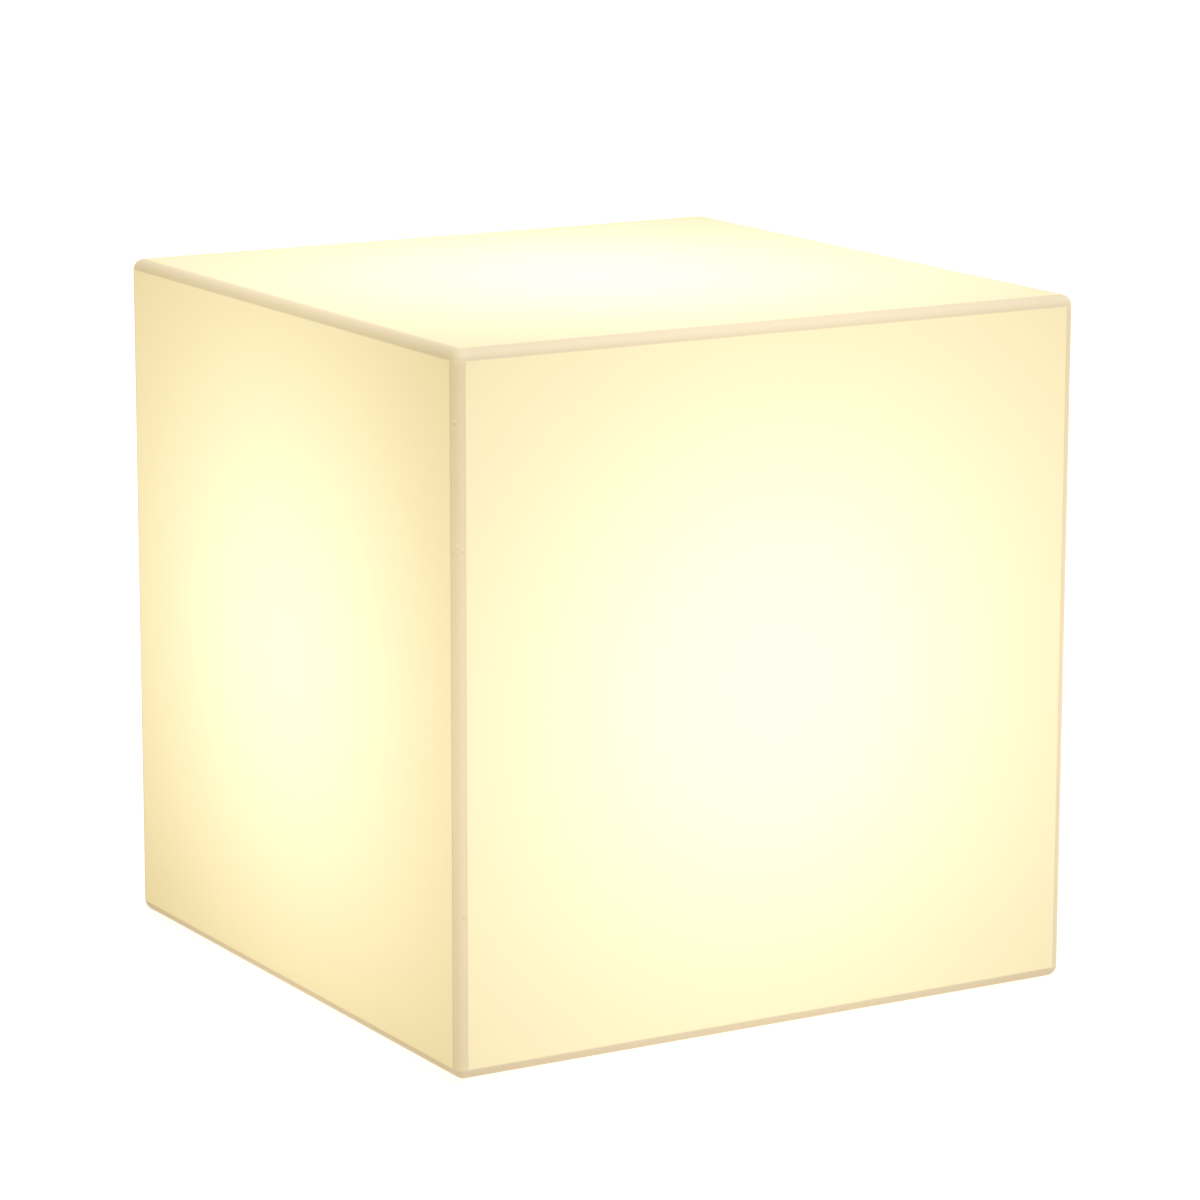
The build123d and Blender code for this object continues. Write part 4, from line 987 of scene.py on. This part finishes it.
        opal = Paint("opal_globe")
        height = opal.axes()[2].ramp(GLOBE_LOW.z, GLOBE_HIGH.z)
        haze = opal.noise(60.0, 3.0)
        warm = settings.globe_colour
        light = opal.mix(height * 0.8 + haze * 0.2,
                         (warm[0], warm[1] * 0.93, warm[2] * 0.84), warm)
        opal.finish(haze, ((0.34, 0.33, 0.3), (0.38, 0.37, 0.34)), haze * 0.1 + 0.3, haze,
                    0.00002, Emission_Color=light,
                    Emission_Strength=settings.globe_strength).wear(globe)

    def finish_inside(self):
        """The heat plate, boards, chips and driver inside the housing."""
        metal("pressed_aluminium", (0.78, 0.79, 0.79), 0.34, (300, 2600, 300)).wear(
            "bulb_heat_plate")
        for name, colour, line, node in (
                ("white_board", (0.88, 0.9, 0.88), (0.72, 0.7, 0.62), "led_board"),
                ("green_board", (0.04, 0.26, 0.11), (0.1, 0.38, 0.2), "driver_board")):
            board = Paint(name)
            tracks = board.node("ShaderNodeTexBrick", {"offset": 0.5}, {
                "Vector": board.place, "Scale": 160.0, "Mortar Size": 0.08, "Mortar Smooth": 0.2},
                "Fac")
            board.finish(tracks, (colour, line), board.noise(300.0) * 0.1 + 0.3, tracks,
                         0.00005).wear(node)
        chip = Paint("phosphor")
        grains = chip.noise(3000.0, 3.0)
        light = chip.mix(grains, (1.0, 0.88, 0.6), (1.0, 0.94, 0.74))
        chip.finish(grains, ((0.9, 0.72, 0.2), (0.98, 0.86, 0.4)), grains * 0.2 + 0.35, grains,
                    0.00004, Emission_Color=light, Emission_Strength=2.0).wear("led_chips")
        moulded("black_components", (0.05, 0.05, 0.055), 0.35, 800.0, 0.00005, 0.3).wear(
            "driver_parts")


# ---- Terminal box ----


class CUBELIGHT_OT_terminals(bpy.types.Operator):
    """Finish the terminal box, its block and its wires"""

    bl_idname = "cube_light.terminals"
    bl_label = "Terminal box"

    def execute(self, context):
        settings = context.scene.cube_light_base
        moulded("box_plastic", settings.box_colour, 0.5, 850.0, 0.00015, 0.08).wear(
            "terminal_box", "terminal_lid")
        moulded("milky_nylon", (0.86, 0.85, 0.8), 0.3, 500.0, 0.00004, 0.05).wear(
            "terminal_block")
        for name, colour, node in (("brown_wire", (0.2, 0.08, 0.035), "live_wire"),
                                   ("blue_wire", (0.045, 0.17, 0.55), "neutral_wire")):
            moulded(name, colour, 0.38, 1100.0, 0.00004, 0.15).wear(node)
        return {"FINISHED"}


# ---- Cord gland ----


class CUBELIGHT_OT_gland(bpy.types.Operator):
    """Make the gland's domed and ribbed nut, and finish its body"""

    bl_idname = "cube_light.gland"
    bl_label = "Cord gland"

    def execute(self, context):
        nylon = moulded("grey_nylon", (0.46, 0.48, 0.5), 0.4, 600.0, 0.00008, 0.1)
        ribs = Paint("grey_nylon_thread")
        grain = ribs.noise(600.0)
        along = ribs.axes()[1]
        flange, thick, pitch = NUT_LOW.y - 0.5 * MM, 5 * MM, 1.5 * MM
        smooth = along.ramp(flange - thick - 0.2 * MM, flange - thick) * along.ramp(
            flange + 0.1 * MM, flange - 0.1 * MM)
        thread = (along * (2 * pi / pitch)).sine() * (1.0 - smooth)
        ribs.finish(grain, ((0.42, 0.44, 0.46), (0.48, 0.5, 0.52)), grain * 0.14 + 0.34,
                    thread * 0.5 + grain * 0.1, 0.0003).wear("gland_body")

        around = 144
        start, end = NUT_LOW.y, NUT_HIGH.y
        level = (NUT_LOW.z + NUT_HIGH.z) / 2
        flat = min(NUT_HIGH.z - level, NUT_HIGH.x)
        corner = flat / cos(radians(30))
        bore, seal_bore, mouth = 8.1 * MM, 6.3 * MM, 4.6 * MM
        outline = [(corner, start + 0.5 * MM),
                   *rounded(corner - 6 * MM, end - 6 * MM, 6 * MM, 0, 68, 10),
                   (mouth + 0.6 * MM, end), (mouth, end - 0.6 * MM), (mouth, end - 3 * MM),
                   (seal_bore, end - 3 * MM), (seal_bore, start + 8 * MM),
                   (bore, start + 8 * MM), (bore, start), (flat - 0.4 * MM, start)]
        chamfered = [(corner - 0.5 * MM, start), (corner - 0.25 * MM, start + 0.25 * MM)]
        profile = np.concatenate([refined(outline, 0.6 * MM), chamfered])
        angle = angles(around)
        sixth = (angle + pi / 6) % (pi / 3) - pi / 6
        hexagon = flat / np.cos(sixth)
        turned, along = profile[:, :1], profile[:, 1:]
        outside = turned > bore + 0.5 * MM
        grip = 0.25 * MM * fade(along, end - 9 * MM, end - 3 * MM, 1.5 * MM)
        domed = turned - grip * np.sin(12 * angle) ** 4
        radius = np.where(outside, np.minimum(np.minimum(turned, hexagon), domed), turned)
        points = np.stack([radius * np.sin(angle), np.repeat(along, around, 1),
                           level + radius * np.cos(angle)], axis=-1).reshape(-1, 3)
        nut = make_piece("gland_domed_nut", [(points, loop_faces(len(profile), around))],
                         "gland_nut", "grey_nylon", "gland_nut")
        nylon.wear(nut, "gland_locknut")
        rubber("washer_rubber", (0.06, 0.06, 0.06)).wear("gland_washer")
        return {"FINISHED"}


# ---- Stage ----


class CUBELIGHT_OT_stage(bpy.types.Operator):
    """Set the camera, the pale floor, the soft lamps and the white surroundings"""

    bl_idname = "cube_light.stage"
    bl_label = "Stage"

    def execute(self, context):
        settings = context.scene.cube_light_stage
        scene = context.scene
        scene.view_settings.view_transform = "Standard"
        self.make_camera(scene, settings)
        self.make_floor(settings)
        self.make_world(scene, settings)
        self.make_key(settings)
        return {"FINISHED"}

    def make_camera(self, scene, settings):
        camera = add_object("camera", bpy.data.cameras.new("camera"))
        camera.data.lens = settings.focal_length
        camera.data.sensor_width = 36.0
        eye, target = Vector(settings.eye), Vector(settings.target)
        turn = (target - eye).to_track_quat("-Z", "Y").to_matrix().to_4x4()
        camera.matrix_world = Matrix.Translation(eye) @ turn @ Matrix.Rotation(
            settings.roll, 4, "Z")
        scene.camera = camera

    def make_floor(self, settings):
        """A wide pale floor; the camera, mirrors and glass see it whiter, its shadow kept."""
        mesh = bpy.data.meshes.new("floor")
        size = 30.0
        mesh.from_pydata([(-size, -size, 0), (size, -size, 0), (size, size, 0), (-size, size, 0)],
                         [], [(0, 1, 2, 3)])
        floor = add_object("floor", mesh)
        paint = Paint("pale_floor")
        white = (settings.floor_white,) * 3
        paint.set(Base_Color=settings.floor_colour, Roughness=0.9,
                  Emission_Color=paint.mix(paint.seen_directly(), BLACK, white),
                  Emission_Strength=1.0, Specular_IOR_Level=0.0)
        paint.wear(floor)

    def make_world(self, scene, settings):
        scene.world = bpy.data.worlds.new("white_room")
        scene.world.use_nodes = True
        room = Nodes(scene.world.node_tree)
        sky = (settings.sky,) * 3
        light = room.node("ShaderNodeBackground", {}, {
            "Color": room.mix(room.seen_directly(), sky, WHITE), "Strength": 1.0})
        output = room.tree.nodes.new("ShaderNodeOutputWorld")
        room.tree.links.new(light.socket, output.inputs[0])

    def make_key(self, settings):
        """A wide sun, so that the floor is lit evenly out to its far edge."""
        light = bpy.data.lights.new("key_lamp", "SUN")
        light.energy = settings.key_strength
        light.angle = settings.key_spread
        lamp = add_object("key_lamp", light)
        turn = Vector(settings.key_direction).to_track_quat("Z", "Y").to_matrix().to_4x4()
        lamp.matrix_world = Matrix.Translation((0.0, 0.0, 3.0)) @ turn


# ---- Panel, registration and run ----

OPERATORS = (
    CUBELIGHT_OT_shell,
    CUBELIGHT_OT_base,
    CUBELIGHT_OT_feet,
    CUBELIGHT_OT_fasteners,
    CUBELIGHT_OT_mast,
    CUBELIGHT_OT_holder,
    CUBELIGHT_OT_bulb,
    CUBELIGHT_OT_terminals,
    CUBELIGHT_OT_gland,
    CUBELIGHT_OT_stage,
)


class CUBELIGHT_PT_panel(bpy.types.Panel):
    """Lists the pieces of the cube light"""

    bl_idname = "CUBELIGHT_PT_panel"
    bl_label = "Cube light"
    bl_space_type = "VIEW_3D"
    bl_region_type = "UI"
    bl_category = "Cube light"

    def draw(self, context):
        for operator in OPERATORS:
            self.layout.operator(operator.bl_idname)


GROUPS = {
    "cube_light_shell": ShellSettings,
    "cube_light_base": BaseSettings,
    "cube_light_lamp": LampSettings,
    "cube_light_stage": StageSettings,
}


def register():
    for kind in (*GROUPS.values(), *OPERATORS, CUBELIGHT_PT_panel):
        bpy.utils.register_class(kind)
    for name, kind in GROUPS.items():
        setattr(bpy.types.Scene, name, PointerProperty(type=kind))


def unregister():
    for name in GROUPS:
        delattr(bpy.types.Scene, name)
    for kind in (CUBELIGHT_PT_panel, *reversed(OPERATORS), *reversed(GROUPS.values())):
        bpy.utils.unregister_class(kind)


def main():
    """Builds every group in order."""
    register()
    for operator in OPERATORS:
        group, name = operator.bl_idname.split(".")
        getattr(getattr(bpy.ops, group), name)()


if __name__ == "__main__":
    main()
